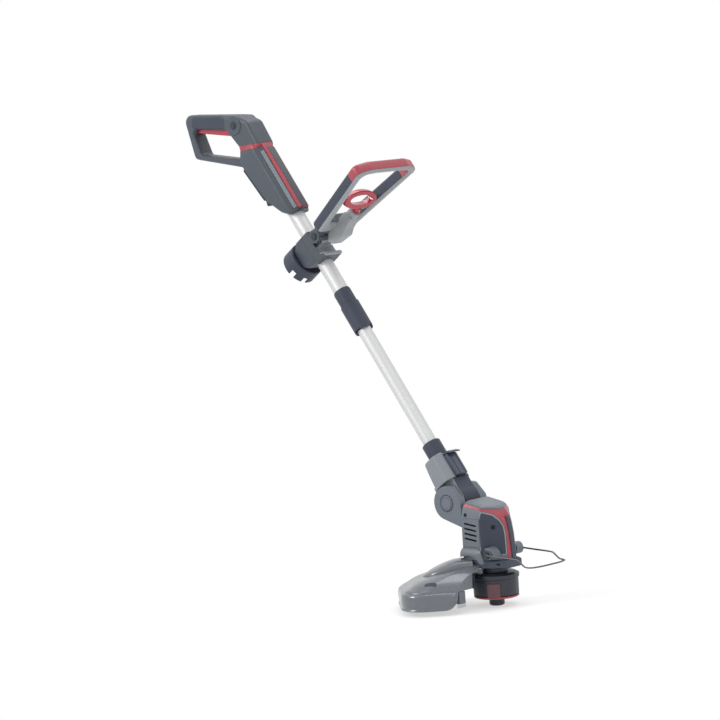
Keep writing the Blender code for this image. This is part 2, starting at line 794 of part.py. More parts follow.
def make_battery():
    corners = [
        (BATTERY_FRONT, BATTERY_BOTTOM, 0.002), (BATTERY_FRONT, BATTERY_TOP, 0.002),
        (-0.0400, BATTERY_TOP, 0.003), (-0.0325, BATTERY_BOTTOM, 0.003),
    ]
    case = prism(rounded(corners, 3), -BATTERY_HALF_WIDTH, BATTERY_HALF_WIDTH, "Y", 0.0015, 2)
    steps = []
    for i in (-1, 0, 1):
        steps.append((CUT, box(
            BATTERY_FRONT - 0.0100, BATTERY_FRONT + 0.0020,
            i * 0.0100 - 0.0009, i * 0.0100 + 0.0009, 0.6920, 0.7100,
        )))
    reach = LATCH_KNUCKLE_R + GAP
    steps.append((CUT, box(
        -0.050, LATCH_PIVOT_X + reach, -0.0120 - GAP, 0.0120 + GAP,
        BATTERY_BOTTOM - 0.0035, LATCH_PIVOT_Z + reach,
    )))
    for i in range(3):
        z = 0.7270 + i * 0.0035
        steps.append((CUT, box(-0.050, -0.0378, -0.0150, 0.0150, z, z + 0.0014)))
    add_piece("battery_case", combine(case, *steps), "battery", "black")


def make_battery_latch():
    outline = arc(LATCH_PIVOT_X, LATCH_PIVOT_Z, LATCH_KNUCKLE_R, 0, 125, 6)
    outline += [
        (-0.0384, 0.7150), (-0.0366, 0.6660),
        (-0.0392, 0.6580), (-0.0380, 0.6560), (-0.0335, 0.6560), (-0.0318, 0.6640), (-0.0314, 0.6900),
    ]
    plate = prism(outline, -0.0120, 0.0120, "Y", 0.0006, 1)
    add_piece("battery_latch", plate, "battery_latch", "black")


# Tubes, telescopic lock and clamp

def make_tubes():
    upper = pipe(UPPER_TUBE_R, UPPER_TUBE_R - TUBE_WALL, UPPER_TUBE_BOTTOM, UPPER_TUBE_TOP)
    add_piece("upper_tube", upper, "rear_unit", "aluminium")
    lower = pipe(LOWER_TUBE_R, LOWER_TUBE_R - TUBE_WALL, LOWER_TUBE_BOTTOM, LOWER_TUBE_TOP)
    add_piece("lower_tube", lower, "lower_shaft", "aluminium")


def make_telescopic_lock():
    inside = UPPER_TUBE_R + GAP
    collar = lathe([
        (inside, NUT_TOP + RUN), (COLLAR_R + 0.0004, NUT_TOP + RUN), (COLLAR_R + 0.0004, COLLAR_TOP - 0.003),
        (COLLAR_R - 0.0006, COLLAR_TOP), (inside, COLLAR_TOP),
    ])
    add_piece("lock_collar", collar, "rear_unit", "navy_soft")

    bore = LOWER_TUBE_R + GAP
    collet = lathe([
        (bore, COLLET_BOTTOM), (COLLET_R - 0.0012, COLLET_BOTTOM), (COLLET_R, COLLET_BOTTOM + 0.006),
        (COLLET_R, UPPER_TUBE_BOTTOM - GAP), (bore, UPPER_TUBE_BOTTOM - GAP),
    ])
    slits = []
    for i in range(3):
        slit = box(0.010, 0.020, -0.0005, 0.0005, COLLET_BOTTOM - 0.002, COLLET_BOTTOM + 0.011)
        slits.append((CUT, moved(slit, Matrix.Rotation(2 * math.pi * i / 3, 4, "Z"))))
    add_piece("collet", combine(collet, *slits), "rear_unit", "black")

    nut = lathe([
        (COLLET_R + GAP, NUT_BOTTOM), (NUT_R - 0.0008, NUT_BOTTOM), (NUT_R, NUT_BOTTOM + 0.002),
        (NUT_R, NUT_TOP - 0.0015), (NUT_R - 0.0010, NUT_TOP), (COLLET_R + GAP, NUT_TOP),
    ], 36)
    notches = []
    for i in range(3):
        notch = box(0.010, 0.025, -0.0080, 0.0080, NUT_BOTTOM - 0.002, NUT_BOTTOM + 0.0042)
        notches.append((CUT, moved(notch, Matrix.Rotation(math.radians(30 + 120 * i), 4, "Z"))))
    add_piece("lock_nut", combine(nut, *notches), "lock_nut", "navy_soft")


def make_clamp():
    front_outline = rounded([
        (-0.0040, CLAMP_BOTTOM, 0), (0.0300, CLAMP_BOTTOM + 0.0005, 0.003),
        (0.0300, CLAMP_BOTTOM + 0.0065, 0.003), (0.0195, CLAMP_BOTTOM + 0.0110, 0.004),
        (0.0180, PIVOT_Z - 0.0130, 0.004), (PIVOT_X, PIVOT_Z - 0.0140, 0.008),
        (PIVOT_X + 0.0125, PIVOT_Z - 0.004, 0.010), (PIVOT_X + 0.0105, PIVOT_Z + 0.0120, 0.008),
        (0.0190, PIVOT_Z + 0.0140, 0.006), (0.0175, CLAMP_TOP, 0.003), (-0.0040, CLAMP_TOP, 0),
    ], 4)
    front = prism(front_outline, -LUG_HALF_WIDTH, LUG_HALF_WIDTH, "Y", 0.0015, 2)
    bolt_hole = rod(PIVOT_BOLT_R + GAP, -0.05, 0.05, "Y", (PIVOT_X, PIVOT_Z), 20)
    front = combine(
        front, (CUT, tube_bore(0.4, 0.7)), (CUT, bolt_hole),
        (CUT, box(0.0165, 0.1, -0.05, -LUG_PIVOT_HALF, PIVOT_Z - 0.0150, 0.7)),
        (CUT, box(0.0165, 0.1, LUG_PIVOT_HALF, 0.05, PIVOT_Z - 0.0150, 0.7)),
        (KEEP, box(GAP / 2, 0.1, -0.05, 0.05, 0.4, 0.7)),
    )
    add_piece("clamp_front", front, "rear_unit", "slate")

    rear_outline = rounded([
        (0.0040, CLAMP_BOTTOM + 0.006, 0), (-0.0200, CLAMP_BOTTOM + 0.006, 0.004),
        (HOLDER_FRONT - HOLDER_RECESS + GAP, HOLDER_Z - 0.016, 0.003),
        (HOLDER_FRONT - HOLDER_RECESS + GAP, HOLDER_Z + 0.016, 0.003),
        (-0.0180, CLAMP_TOP, 0.005), (0.0040, CLAMP_TOP, 0),
    ], 3)
    rear = prism(rear_outline, -LUG_HALF_WIDTH, LUG_HALF_WIDTH, "Y", 0.0020, 2)
    rear = combine(
        rear, (CUT, tube_bore(0.4, 0.7)),
        (KEEP, box(-0.1, -GAP / 2, -0.05, 0.05, 0.4, 0.7)),
    )
    add_piece("clamp_rear", rear, "rear_unit", "slate")

    holder = lathe([
        (0.0, HOLDER_RECESS), (HOLDER_R - 0.0030, HOLDER_RECESS), (HOLDER_R - 0.0030, 0.0),
        (HOLDER_R - 0.0010, 0.0), (HOLDER_R, 0.0010), (HOLDER_R, HOLDER_DEPTH),
        (HOLDER_R - HOLDER_WALL, HOLDER_DEPTH), (HOLDER_R - HOLDER_WALL, HOLDER_RECESS + 0.0022),
        (0.0, HOLDER_RECESS + 0.0022),
    ], 36)
    cuts = []
    for angle in (200, 245):
        notch = box(0.020, 0.045, -0.0045, 0.0045, HOLDER_DEPTH - 0.011, HOLDER_DEPTH + 0.01)
        cuts.append((CUT, moved(notch, Matrix.Rotation(math.radians(angle), 4, "Z"))))
    holder = combine(holder, *cuts)
    turn = Matrix.Rotation(math.radians(-90), 4, "Y")
    holder = moved(holder, Matrix.Translation((HOLDER_FRONT, 0, HOLDER_Z)) @ turn)
    add_piece("spare_spool_holder", holder, "rear_unit", "navy_soft")


# Front handle, in its own frame on the pivot

def handle_outline(grow=0.0):
    near = [
        (-0.0020, -0.0250, 0.006), (0.0120, -0.0262, 0.006), (0.0280, -0.0425, 0.012),
        (LOOP_END - 0.0090, -0.0752, 0.012), (LOOP_END, -0.0460, 0.020),
    ]
    outer = near + [(x, -y, r) for x, y, r in reversed(near)]
    return offset(rounded(outer, 4), grow) if grow else rounded(outer, 4)


def opening_outline():
    near = [
        (0.0520, -0.0310, 0.010), (LOOP_END - 0.0140, -0.0605, 0.010), (LOOP_END - 0.0110, -0.0350, 0.020),
    ]
    return rounded(near + [(x, -y, r) for x, y, r in reversed(near)], 4)


def handle_solid():
    low = LOOP_MID - LOOP_HALF_THICK
    high = LOOP_MID + LOOP_HALF_THICK
    outer = prism(handle_outline(), low, high, "Z", 0.0040)
    rings = []
    outline = opening_outline()
    levels = [(low - 0.02, 0.0030), (low, 0.0030), (low + 0.0014, 0.0010), (low + 0.0040, 0.0)]
    levels += [(2 * LOOP_MID - w, d) for w, d in reversed(levels)]
    for w, d in levels:
        shape = offset(outline, d) if d else outline
        rings.append([(u, v, w) for u, v in shape])
    return combine(outer, (CUT, loft(rings)))


def lug_room():
    """Space that the clamp's lug sweeps between the handle's cheeks."""
    swept = rod(0.0180, -CHEEK_INNER, CHEEK_INNER, "Y", (0, 0), 32)
    return swept


def base_zone(grow):
    """Plan of the firm base between the pivot, the two soft grips and the opening."""
    outline = [
        (-0.1, -0.1), (GRIP_START, -0.1), (GRIP_START, -BASE_HALF_START), (BASE_END, -BASE_HALF_END),
        (BASE_END, BASE_HALF_END), (GRIP_START, BASE_HALF_START), (GRIP_START, 0.1), (-0.1, 0.1),
    ]
    return prism(offset(outline, grow), -0.1, 0.1, "Z")


def make_front_handle():
    whole = handle_solid()
    below = whole.copy()
    stem_outline = rounded([
        (0.0100, -0.0200, 0.003), (0.0157, -0.0297, 0.005), (0.0472, -0.0345, 0.008),
        (0.0590, -0.0280, 0.006), (STUB_END - 0.0105, -0.0236, 0.004), (STUB_END - 0.0105, -0.0042, 0.004),
        (0.0590, -0.0042, 0.002), (0.0560, SEAM_Z - 0.0003, 0.002), (0.0220, SEAM_Z - 0.0003, 0.003),
    ], 4)
    stem = prism(stem_outline, -0.0120, 0.0120, "Y", 0.0010, 1)
    stub = rod(STUB_R, STUB_END - 0.0210, STUB_END, "X", (0, STUB_Z), 28, 0.0008)
    bore = rod(SHANK_R + GAP, STUB_END - 0.0170, 0.2, "X", (0, STUB_Z), 24)
    lower = combine(
        below, (KEEP, box(0.0300, 0.3, -0.1, 0.1, -0.1, SEAM_Z)), (JOIN, stem), (JOIN, stub), (CUT, bore),
        (CUT, lug_room()), (CUT, rod(CHEEK_R + 0.0008, -0.05, 0.05, "Y", (0, 0), 32)),
    )
    add_piece("front_handle_lower_shell", lower, "front_handle", "light_grey")

    upper = combine(whole, (KEEP, box(-0.1, 0.3, -0.1, 0.1, SEAM_Z + GAP, 0.1)))
    cap = combine(
        upper.copy(), (KEEP, box(CAP_START, 0.3, -0.1, 0.1, -0.1, 0.1)),
    )
    add_piece("front_handle_cap", cap, "front_handle", "red")
    for name, low, high in (("front_grip_right", -0.1, 0.0), ("front_grip_left", 0.0, 0.1)):
        grip = combine(
            upper.copy(), (KEEP, box(GRIP_START, CAP_START - GAP, low, high, -0.1, 0.1)),
            (CUT, base_zone(0.0)),
        )
        add_piece(name, grip, "front_handle", "navy_soft")
    cheeks = rod(CHEEK_R, -CHEEK_OUTER, CHEEK_OUTER, "Y", (0, 0), 32, 0.0010)
    base = combine(
        upper, (KEEP, base_zone(-GAP)), (JOIN, cheeks), (CUT, lug_room()),
        (CUT, rod(PIVOT_BOLT_R + GAP, -0.05, 0.05, "Y", (0, 0), 20)),
        (CUT, rod(0.0072, -0.08, -CHEEK_OUTER, "Y", (0, 0), 24)),
        (CUT, rod(0.0072, CHEEK_OUTER, 0.08, "Y", (0, 0), 24)),
    )
    add_piece("front_handle_base", base, "front_handle", "slate")

    head = CHEEK_OUTER + 0.0020
    bolt = lathe([
        (0.0, -head), (0.0058, -head), (0.0062, -head + 0.0005), (0.0062, -CHEEK_OUTER - GAP),
        (PIVOT_BOLT_R, -CHEEK_OUTER - GAP), (PIVOT_BOLT_R, CHEEK_OUTER + GAP),
        (0.0062, CHEEK_OUTER + GAP), (0.0062, head - 0.0005), (0.0058, head), (0.0, head),
    ], 18)
    bolt = moved(bolt, Matrix.Rotation(math.radians(-90), 4, "X"))
    add_piece("front_handle_bolt", bolt, "front_handle", "black")


def make_release_ring():
    outer = prism(ellipse(0, 0, RING_HALF_DEPTH, RING_HALF_WIDTH, 32), -RING_THICK / 2, RING_THICK / 2,
                  "Z", 0.0035, 3)
    hole = prism(ellipse(0.001, 0, RING_HALF_DEPTH - 0.0090, RING_HALF_WIDTH - 0.0120, 28),
                 -0.05, 0.05, "Z")
    ring = combine(outer, (CUT, hole))
    ring = moved(ring, Matrix.Translation((RING_X, 0, RING_Z)) @ Matrix.Rotation(-RING_TILT, 4, "Y"))
    shank = rod(SHANK_R, STUB_END - 0.0055, STUB_END + 0.0110, "X", (0, STUB_Z), 24)
    pocket = rod(0.0048, STUB_END - 0.0090, STUB_END + 0.0035, "X", (0, STUB_Z), 20)
    add_piece("release_ring", combine(ring, (JOIN, shank), (CUT, pocket)), "release_ring", "red")

    coil = helix(0.0040, STUB_END - 0.0170 + GAP, STUB_END - 0.0010, 5, 0.0005)
    turn = Matrix.Rotation(math.radians(90), 4, "Y")
    coil = moved(coil, Matrix.Translation((0, 0, STUB_Z)) @ turn)
    add_piece("release_spring", coil, "front_handle", "steel")


# Swivel section

def swivel_ring(z, rear, front, half):
    corners = [
        (front, -half * 0.62, 0.006), (front, half * 0.62, 0.006), (front - 0.010, half, 0.006),
        (rear + 0.012, half, 0.008), (rear, half * 0.45, 0.008), (rear, -half * 0.45, 0.008),
        (rear + 0.012, -half, 0.008), (front - 0.010, -half, 0.006),
    ]
    return [(x, y, z) for x, y in rounded(corners, 2)]


def make_swivel():
    rings = [
        swivel_ring(SWIVEL_BOTTOM, -0.0300, SWIVEL_FRONT, SWIVEL_HALF_WIDTH),
        swivel_ring(0.0600, SWIVEL_REAR, SWIVEL_FRONT, 0.0285),
        swivel_ring(SWIVEL_TOP - 0.002, SWIVEL_REAR + 0.002, SWIVEL_FRONT - 0.001, 0.0265),
        swivel_ring(SWIVEL_TOP, SWIVEL_REAR + 0.0035, SWIVEL_FRONT - 0.0025, 0.0250),
    ]
    tongue_outline = arc(-SHAFT_AHEAD, 0, TONGUE_R, 160, 380, 20)
    tongue_outline += [(0.0200, 0.0420), (-0.0300, 0.0420)]
    tongue = prism(tongue_outline, -TONGUE_HALF_WIDTH, TONGUE_HALF_WIDTH, "Y", 0.0012, 1)
    body = combine(
        loft(rings), (JOIN, tongue),
        (JOIN, box(SWIVEL_REAR - 0.0030, SWIVEL_REAR + 0.005, -0.0070, 0.0070, 0.0640, 0.0770, 0.0012)),
        (CUT, rod(SPIGOT_R + RUN / 2, SPIGOT_BOTTOM - RUN, 0.2, "Z", (0, 0), 32)),
        (CUT, rod(BOLT_R + GAP, -0.05, 0.05, "Y", (-SHAFT_AHEAD, 0), 20)),
        (CUT, box(SWIVEL_FRONT - 0.0060, 0.06, -COVER_HALF_WIDTH - GAP, COVER_HALF_WIDTH + GAP,
                  SWIVEL_BOTTOM - 0.002, TAB_BOTTOM + TAB_THICK + TAB_TRAVEL + RUN)),
    )
    copy = body.copy()
    right = combine(body, (KEEP, box(-0.1, 0.1, -0.1, -GAP / 2, -0.1, 0.2)))
    left = combine(copy, (KEEP, box(-0.1, 0.1, GAP / 2, 0.1, -0.1, 0.2)))
    add_piece("swivel_shell_right", right, "swivel", "slate")
    add_piece("swivel_shell_left", left, "swivel", "slate")

    cover = box(
        SWIVEL_FRONT - 0.0060 + GAP, COVER_FRONT, -COVER_HALF_WIDTH, COVER_HALF_WIDTH,
        SWIVEL_BOTTOM + GAP, TAB_BOTTOM - RUN, 0.0022, 2,
    )
    grooves = []
    for y in (-0.0065, 0.0065):
        groove = box(COVER_FRONT - 0.0012, 0.04, y - 0.0008, y + 0.0008, 0.03, 0.08)
        grooves.append((CUT, groove))
    add_piece("swivel_front_cover", combine(cover, *grooves), "swivel", "navy_soft")

    tab_outline = rounded([
        (SWIVEL_FRONT - 0.0060 + RUN, TAB_BOTTOM, 0), (COVER_FRONT + 0.0006, TAB_BOTTOM, 0),
        (TAB_FRONT - 0.0014, TAB_BOTTOM - 0.0050, 0.0008), (TAB_FRONT, TAB_BOTTOM - 0.0030, 0.0008),
        (COVER_FRONT + 0.0016, TAB_BOTTOM + TAB_THICK, 0.0030), (SWIVEL_FRONT - 0.0060 + RUN, TAB_BOTTOM + TAB_THICK, 0),
    ], 4)
    tab = prism(tab_outline, -COVER_HALF_WIDTH + RUN, COVER_HALF_WIDTH - RUN, "Y")
    add_piece("swivel_lock_tab", tab, "swivel_lock", "slate")


def make_tube_socket():
    bore = LOWER_TUBE_R + GAP
    socket = lathe([
        (0.0090, SPIGOT_BOTTOM), (SPIGOT_R, SPIGOT_BOTTOM), (SPIGOT_R, SOCKET_BOTTOM),
        (SOCKET_R, SOCKET_BOTTOM), (SOCKET_R, SOCKET_TOP - 0.0015), (SOCKET_R - 0.0015, SOCKET_TOP),
        (bore, SOCKET_TOP), (bore, LOWER_TUBE_BOTTOM - GAP), (0.0090, LOWER_TUBE_BOTTOM - GAP),
    ])
    slot = box(-0.030, -0.0145, -0.0030, 0.0030, 0.0960, 0.1080)
    add_piece("tube_socket", combine(socket, (CUT, slot)), "lower_shaft", "navy_soft")


# Head

HEAD_STATIONS = [
    # world height, nose x, half width, rear x
    (BASE_TOP + GAP, 0.0440, 0.0400, -0.0370), (0.1000, 0.0430, 0.0400, -0.0370),
    (0.1280, 0.0400, 0.0400, -0.0370), (0.1500, 0.0355, 0.0392, -0.0370),
    (0.1600, 0.0315, 0.0375, -0.0365), (0.1660, 0.0275, 0.0355, -0.0355),
    (HOUSING_TOP, 0.0225, 0.0325, -0.0340),
]
SLOPE_START = 0.1300      # the slope of the top fades out down to this height
SLOPE_MIDDLE = 0.0120


def top_lift(x, z):
    """How far the sloping top lies above its height in the stations."""
    share = (z - SLOPE_START) / (HOUSING_TOP - SLOPE_START)
    return HEAD_TOP_SLOPE * (SLOPE_MIDDLE - x) * min(1.0, max(0.0, share))


def head_ring(z, nose, half, rear, inset=0.0):
    """Plan section of the motor housing: square at the rear, tapering to a nose."""
    shoulder = min(HEAD_SHOULDER, nose - 0.006)
    corners = [
        (nose, -HEAD_NOSE_HALF_WIDTH, 0.004), (nose, HEAD_NOSE_HALF_WIDTH, 0.004),
        (shoulder, half, 0.012), (rear, half, 0.004), (rear, -half, 0.004), (shoulder, -half, 0.012),
    ]
    outline = rounded(corners, 3)
    if inset:
        outline = offset(outline, -inset)
    return [(x, y, z + top_lift(x, z)) for x, y in outline]


def nose_x(z):
    """Front of the housing at a height."""
    for low, high in zip(HEAD_STATIONS, HEAD_STATIONS[1:]):
        if z <= high[0]:
            share = max(0.0, (z - low[0]) / (high[0] - low[0]))
            return low[1] + (high[1] - low[1]) * share
    return HEAD_STATIONS[-1][1]


def accent_zone(grow):
    """Side view of the red trim: along the top edge and down the nose."""
    edge = HOUSING_TOP - 0.0008
    outline = [
        (-0.0600, 0.1745 - grow), (-0.0245, 0.1717 - grow), (0.0048, 0.1675 - grow),
        (0.0204, 0.1603 - grow), (0.0300 - grow, 0.1500), (0.0355 - grow, 0.1400),
        (0.0385 - grow, 0.1244), (0.0400 - grow, 0.0850 - grow), (0.0800, 0.0850 - grow),
        (0.0800, edge + top_lift(0.08, HOUSING_TOP) + grow),
        (-0.0600, edge + top_lift(-0.06, HOUSING_TOP) + grow),
    ]
    return prism(outline, -0.06, 0.06, "Y")


def accent_core(grow):
    rings = [head_ring(z, nose, half, rear, 0.0030 - grow) for z, nose, half, rear in HEAD_STATIONS]
    return loft(rings)


def ear_solid(side):
    outline = arc(TILT_X, TILT_Z, EAR_R, 75, 258, 18)
    outline += [(HEAD_REAR - 0.0006, 0.1360), (HEAD_REAR + 0.0100, 0.1360),
                (HEAD_REAR + 0.0100, 0.1570), (HEAD_REAR - 0.0004, 0.1570),
                (HEAD_REAR - 0.0004, 0.1700), (-0.0430, 0.1860)]
    low, high = (EAR_INNER, EAR_OUTER) if side > 0 else (-EAR_OUTER, -EAR_INNER)
    return prism(outline, low, high, "Y", 0.0012, 2)


def flange_outline(grow):
    corners = [
        (HEAD_REAR, -HEAD_HALF_WIDTH, 0.004), (HEAD_SHOULDER, -HEAD_HALF_WIDTH, 0.012),
        (0.0480, -0.0170, 0.008), (0.0480, 0.0170, 0.008),
        (HEAD_SHOULDER, HEAD_HALF_WIDTH, 0.012), (HEAD_REAR, HEAD_HALF_WIDTH, 0.004),
    ]
    outline = rounded(corners, 4)
    return offset(outline, grow) if grow else outline


def flare_solid():
    """Moulding that stands out over the guard's ridge, arched on both sides."""
    arch = [
        (-0.0600, 0.0850), (-0.0440, 0.0855), (-0.0300, 0.0893), (-0.0180, 0.0912), (-0.0080, 0.0898),
        (0.0000, 0.0850), (0.0060, 0.0775), (0.0120, 0.0775), (0.0105, 0.0900), (0.0060, 0.0990),
        (-0.0020, 0.1020), (-0.0600, 0.1020),
    ]
    base = [(x, y) for x, y, _ in head_ring(0.1, *HEAD_STATIONS[1][1:])]
    rings = []
    for z, grow in ((0.0700, FLARE_OUT), (0.0930, FLARE_OUT), (0.0980, FLARE_OUT * 0.7), (0.1030, 0.0)):
        rings.append([(x, y, z) for x, y in (offset(base, grow) if grow else base)])
    return combine(
        loft(rings), (KEEP, prism(arch, -0.06, 0.06, "Y")),
        (CUT, prism(flange_outline(GAP), 0.05, BASE_TOP + GAP, "Z")),
    )


def make_head_housing():
    outer = loft([head_ring(*station) for station in HEAD_STATIONS])
    accent_source = outer.copy()
    inner_rings = [
        head_ring(z, nose, half, rear, HEAD_WALL)
        for z, nose, half, rear in ((0.0700, 0.0440, 0.0400, -0.0370), (0.1280, 0.0400, 0.0400, -0.0370),
                                    (0.1520, 0.0325, 0.0385, -0.0365))
    ]
    cavity = loft(inner_rings)
    groove = combine(accent_zone(GAP), (CUT, accent_core(0.0)))
    steps = [(CUT, groove), (JOIN, flare_solid()), (CUT, cavity)]
    for side in (-1, 1):
        steps.append((JOIN, ear_solid(side)))
        low, high = (0.0240, WIRE_BOSS_OUT) if side > 0 else (-WIRE_BOSS_OUT, -0.0240)
        steps.append((JOIN, rod(WIRE_BOSS_R, low, high, "Y", (WIRE_PIVOT_X, WIRE_PIVOT_Z), 24, 0.0006)))
        window = box(VENT_REAR + 0.003, VENT_FRONT - 0.003, 0.030, 0.060, VENT_BOTTOM + 0.010, VENT_TOP - 0.004)
        recess = box(VENT_REAR - GAP, VENT_FRONT + GAP, HEAD_HALF_WIDTH - VENT_THICK - GAP, 0.060,
                     VENT_BOTTOM - GAP, VENT_TOP + GAP)
        if side < 0:
            window = mirrored(window)
            recess = mirrored(recess)
        steps.append((CUT, recess))
        steps.append((CUT, window))
    steps.append((CUT, rod(WIRE_R + GAP, -0.06, 0.06, "Y", (WIRE_PIVOT_X, WIRE_PIVOT_Z), 16)))
    steps.append((CUT, rod(BOLT_R + GAP, -0.06, 0.06, "Y", (TILT_X, TILT_Z), 20)))
    steps.append((CUT, rod(BUTTON_R + RUN / 2, -0.06, -EAR_OUTER + 0.0080, "Y", (TILT_X, TILT_Z), 32)))
    steps.append((CUT, rod(0.0120, EAR_OUTER - 0.0030, 0.06, "Y", (TILT_X, TILT_Z), 28)))
    shell = combine(outer, *steps)
    copy = shell.copy()
    right = combine(shell, (KEEP, box(-0.2, 0.2, -0.1, -GAP / 2, 0, 0.3)))
    left = combine(copy, (KEEP, box(-0.2, 0.2, GAP / 2, 0.1, 0, 0.3)))
    add_piece("motor_housing_right", right, "head", "slate")
    add_piece("motor_housing_left", left, "head", "slate")

    accent = combine(accent_source, (KEEP, accent_zone(0.0)), (CUT, accent_core(GAP)))
    add_piece("head_accent", accent, "head", "red")


VENT_REAR = -0.0345
VENT_FRONT = 0.0045
VENT_BOTTOM = 0.1045
VENT_TOP = 0.1530
VENT_THICK = 0.0016
VENT_COUNT = 4


def make_vent_panels():
    for name, side in (("vent_panel_right", -1), ("vent_panel_left", 1)):
        panel = box(VENT_REAR, VENT_FRONT, HEAD_HALF_WIDTH - VENT_THICK, HEAD_HALF_WIDTH + 0.0006,
                    VENT_BOTTOM, VENT_TOP, 0.0006)
        cuts = []
        for i in range(VENT_COUNT):
            slot = box(-0.0135, 0.0135, 0.030, 0.050, -0.0016, 0.0016)
            turn = Matrix.Rotation(math.radians(7.5), 4, "Y")
            z = 0.1430 - i * 0.0085
            cuts.append((CUT, moved(slot, Matrix.Translation((-0.0155, 0, z)) @ turn)))
        panel = combine(panel, *cuts)
        if side < 0:
            panel = mirrored(panel)
        add_piece(name, panel, "head", "light_grey")


def make_head_covers():
    deck_rings = [
        head_ring(HOUSING_TOP + GAP, 0.0215, 0.0315, -0.0330),
        head_ring(HOUSING_TOP + DECK_THICK / 2, 0.0195, 0.0300, -0.0325),
        head_ring(HOUSING_TOP + DECK_THICK, 0.0145, 0.0255, -0.0310),
    ]
    add_piece("head_deck", loft(deck_rings), "head", "slate")

    levels = [0.0850, 0.1000, 0.1280, 0.1500, 0.1560]
    inner = [(nose_x(z) + GAP, z) for z in levels]
    outer = [(nose_x(z) + GAP + thick, z) for z, thick in zip(levels, (0.0022, 0.0022, 0.0020, 0.0016, 0.0008))]
    spine = prism(inner + outer[::-1], -0.0045, 0.0045, "Y")
    add_piece("nose_spine", spine, "head", "slate")

    base = prism(flange_outline(0.0), BASE_BOTTOM, BASE_TOP, "Z", 0.0030, 2)
    boss = rod(0.0220, CARRIER_TOP + 0.0008, BASE_BOTTOM + 0.002, "Z", (0, 0), 32)
    base = combine(
        base, (JOIN, boss), (CUT, rod(SPINDLE_R + 0.0010, 0.0, 0.2, "Z", (0, 0), 20)),
        (CUT, rod(0.0080 + GAP, 0.0, 0.0670 + GAP, "Z", (0, 0), 24)),
    )
    add_piece("base_flange", base, "head", "slate")

    motor = lathe([
        (SPINDLE_R + 0.0010, BASE_TOP + GAP), (MOTOR_R - 0.001, BASE_TOP + GAP),
        (MOTOR_R, BASE_TOP + 0.0015), (MOTOR_R, MOTOR_TOP - 0.0050), (MOTOR_R - 0.0015, MOTOR_TOP - 0.0035),
        (0.0090, MOTOR_TOP - 0.0030), (0.0090, MOTOR_TOP), (SPINDLE_R + 0.0010, MOTOR_TOP),
    ], 20)
    add_piece("motor", motor, "head", "steel")

    bearing = lathe([
        (SPINDLE_R + GAP, 0.0620), (0.0080, 0.0620), (0.0080, 0.0670), (SPINDLE_R + GAP, 0.0670),
    ], 24)
    add_piece("spindle_bearing", bearing, "head", "steel")

    bolt = lathe([
        (0.0, -EAR_OUTER + 0.0080 + BUTTON_TRAVEL), (BOLT_R, -EAR_OUTER + 0.0080 + BUTTON_TRAVEL),
        (BOLT_R, EAR_OUTER - 0.0030 + GAP), (0.0115, EAR_OUTER - 0.0030 + GAP),
        (0.0115, EAR_OUTER - 0.0005), (0.0105, EAR_OUTER + 0.0004), (0.0, EAR_OUTER + 0.0004),
    ], 24)
    bolt = moved(bolt, Matrix.Translation((TILT_X, 0, TILT_Z)) @ Matrix.Rotation(math.radians(-90), 4, "X"))
    add_piece("tilt_bolt", bolt, "head", "black")

    inner = -EAR_OUTER + 0.0080 - BUTTON_TRAVEL - GAP
    button = rod(BUTTON_R, -EAR_OUTER - BUTTON_PROUD, inner, "Y", (TILT_X, TILT_Z), 32, 0.0010)
    add_piece("tilt_button", button, "tilt_button", "slate")


def dome_height(share):
    for (s0, z0), (s1, z1) in zip(DOME, DOME[1:]):
        if share <= s1:
            return z0 + (z1 - z0) * (share - s0) / (s1 - s0)
    return DOME[-1][1]


def guard_profile(reach, bottom, floor):
    """Radial section of the guard as (r, z); reach is the rim's distance, floor holds its underside down."""
    t = GUARD_WALL
    seat = BASE_BOTTOM - GAP - t - 0.0014
    edge = WELL_R + 0.0015
    wall = reach - 0.0008
    top = [(GUARD_INNER_R, dome_height(GUARD_INNER_R / reach))]
    top += [(share * reach, z) for share, z in DOME if share * reach > GUARD_INNER_R + 0.002]
    top += [
        (reach - 0.0080, GUARD_RIM_TOP + 0.0075), (reach - 0.0078, GUARD_RIM_TOP + 0.0053),
        (reach - 0.0040, GUARD_RIM_TOP + 0.0043), (wall, GUARD_RIM_TOP), (wall, bottom + 0.0026),
        (reach, bottom + 0.0018), (reach, bottom),
    ]
    under = [(wall - t, bottom), (wall - t, GUARD_RIM_TOP - 0.0008)]
    under += [(reach - 0.0050, GUARD_RIM_TOP + 0.0020), (reach - 0.0088, GUARD_RIM_TOP + 0.0045)]
    shares = [share for share, _ in DOME if share >= 0.60]
    under += [(share * reach, dome_height(share) - t) for share in reversed(shares)]
    under.append((edge + 0.0015, dome_height((edge + 0.0015) / reach) - t))
    under = [(r, min(z, floor)) for r, z in under]
    return top + under + [(edge, seat), (GUARD_INNER_R, seat)]


def rim_places():
    """Points along the rim of the guard in its own frame, with their distance from the nearer end."""
    corners = [
        (GUARD_SIDE_START, GUARD_HALF_WIDTH, 0), (GUARD_REACH, GUARD_HALF_WIDTH, GUARD_CORNER),
        (GUARD_REACH, -GUARD_HALF_WIDTH, GUARD_CORNER), (GUARD_SIDE_START, -GUARD_HALF_WIDTH, 0),
    ]
    line = [Vector(p) for p in rounded(corners, 24)]
    lengths = [0.0]
    for a, b in zip(line, line[1:]):
        lengths.append(lengths[-1] + (b - a).length)
    total = lengths[-1]
    half = [0.0, 0.0020, 0.0023, 0.0050, 0.0090, 0.0165]
    count = 9
    half += [0.0165 + (total / 2 - 0.0165) * i / count for i in range(1, count + 1)]
    places = []
    for distance in half + [total - d for d in reversed(half[:-1])]:
        i = max(k for k in range(len(line) - 1) if lengths[k] <= distance + 1e-9)
        share = (distance - lengths[i]) / (lengths[i + 1] - lengths[i])
        places.append((line[i].lerp(line[i + 1], share), min(distance, total - distance)))
    return places


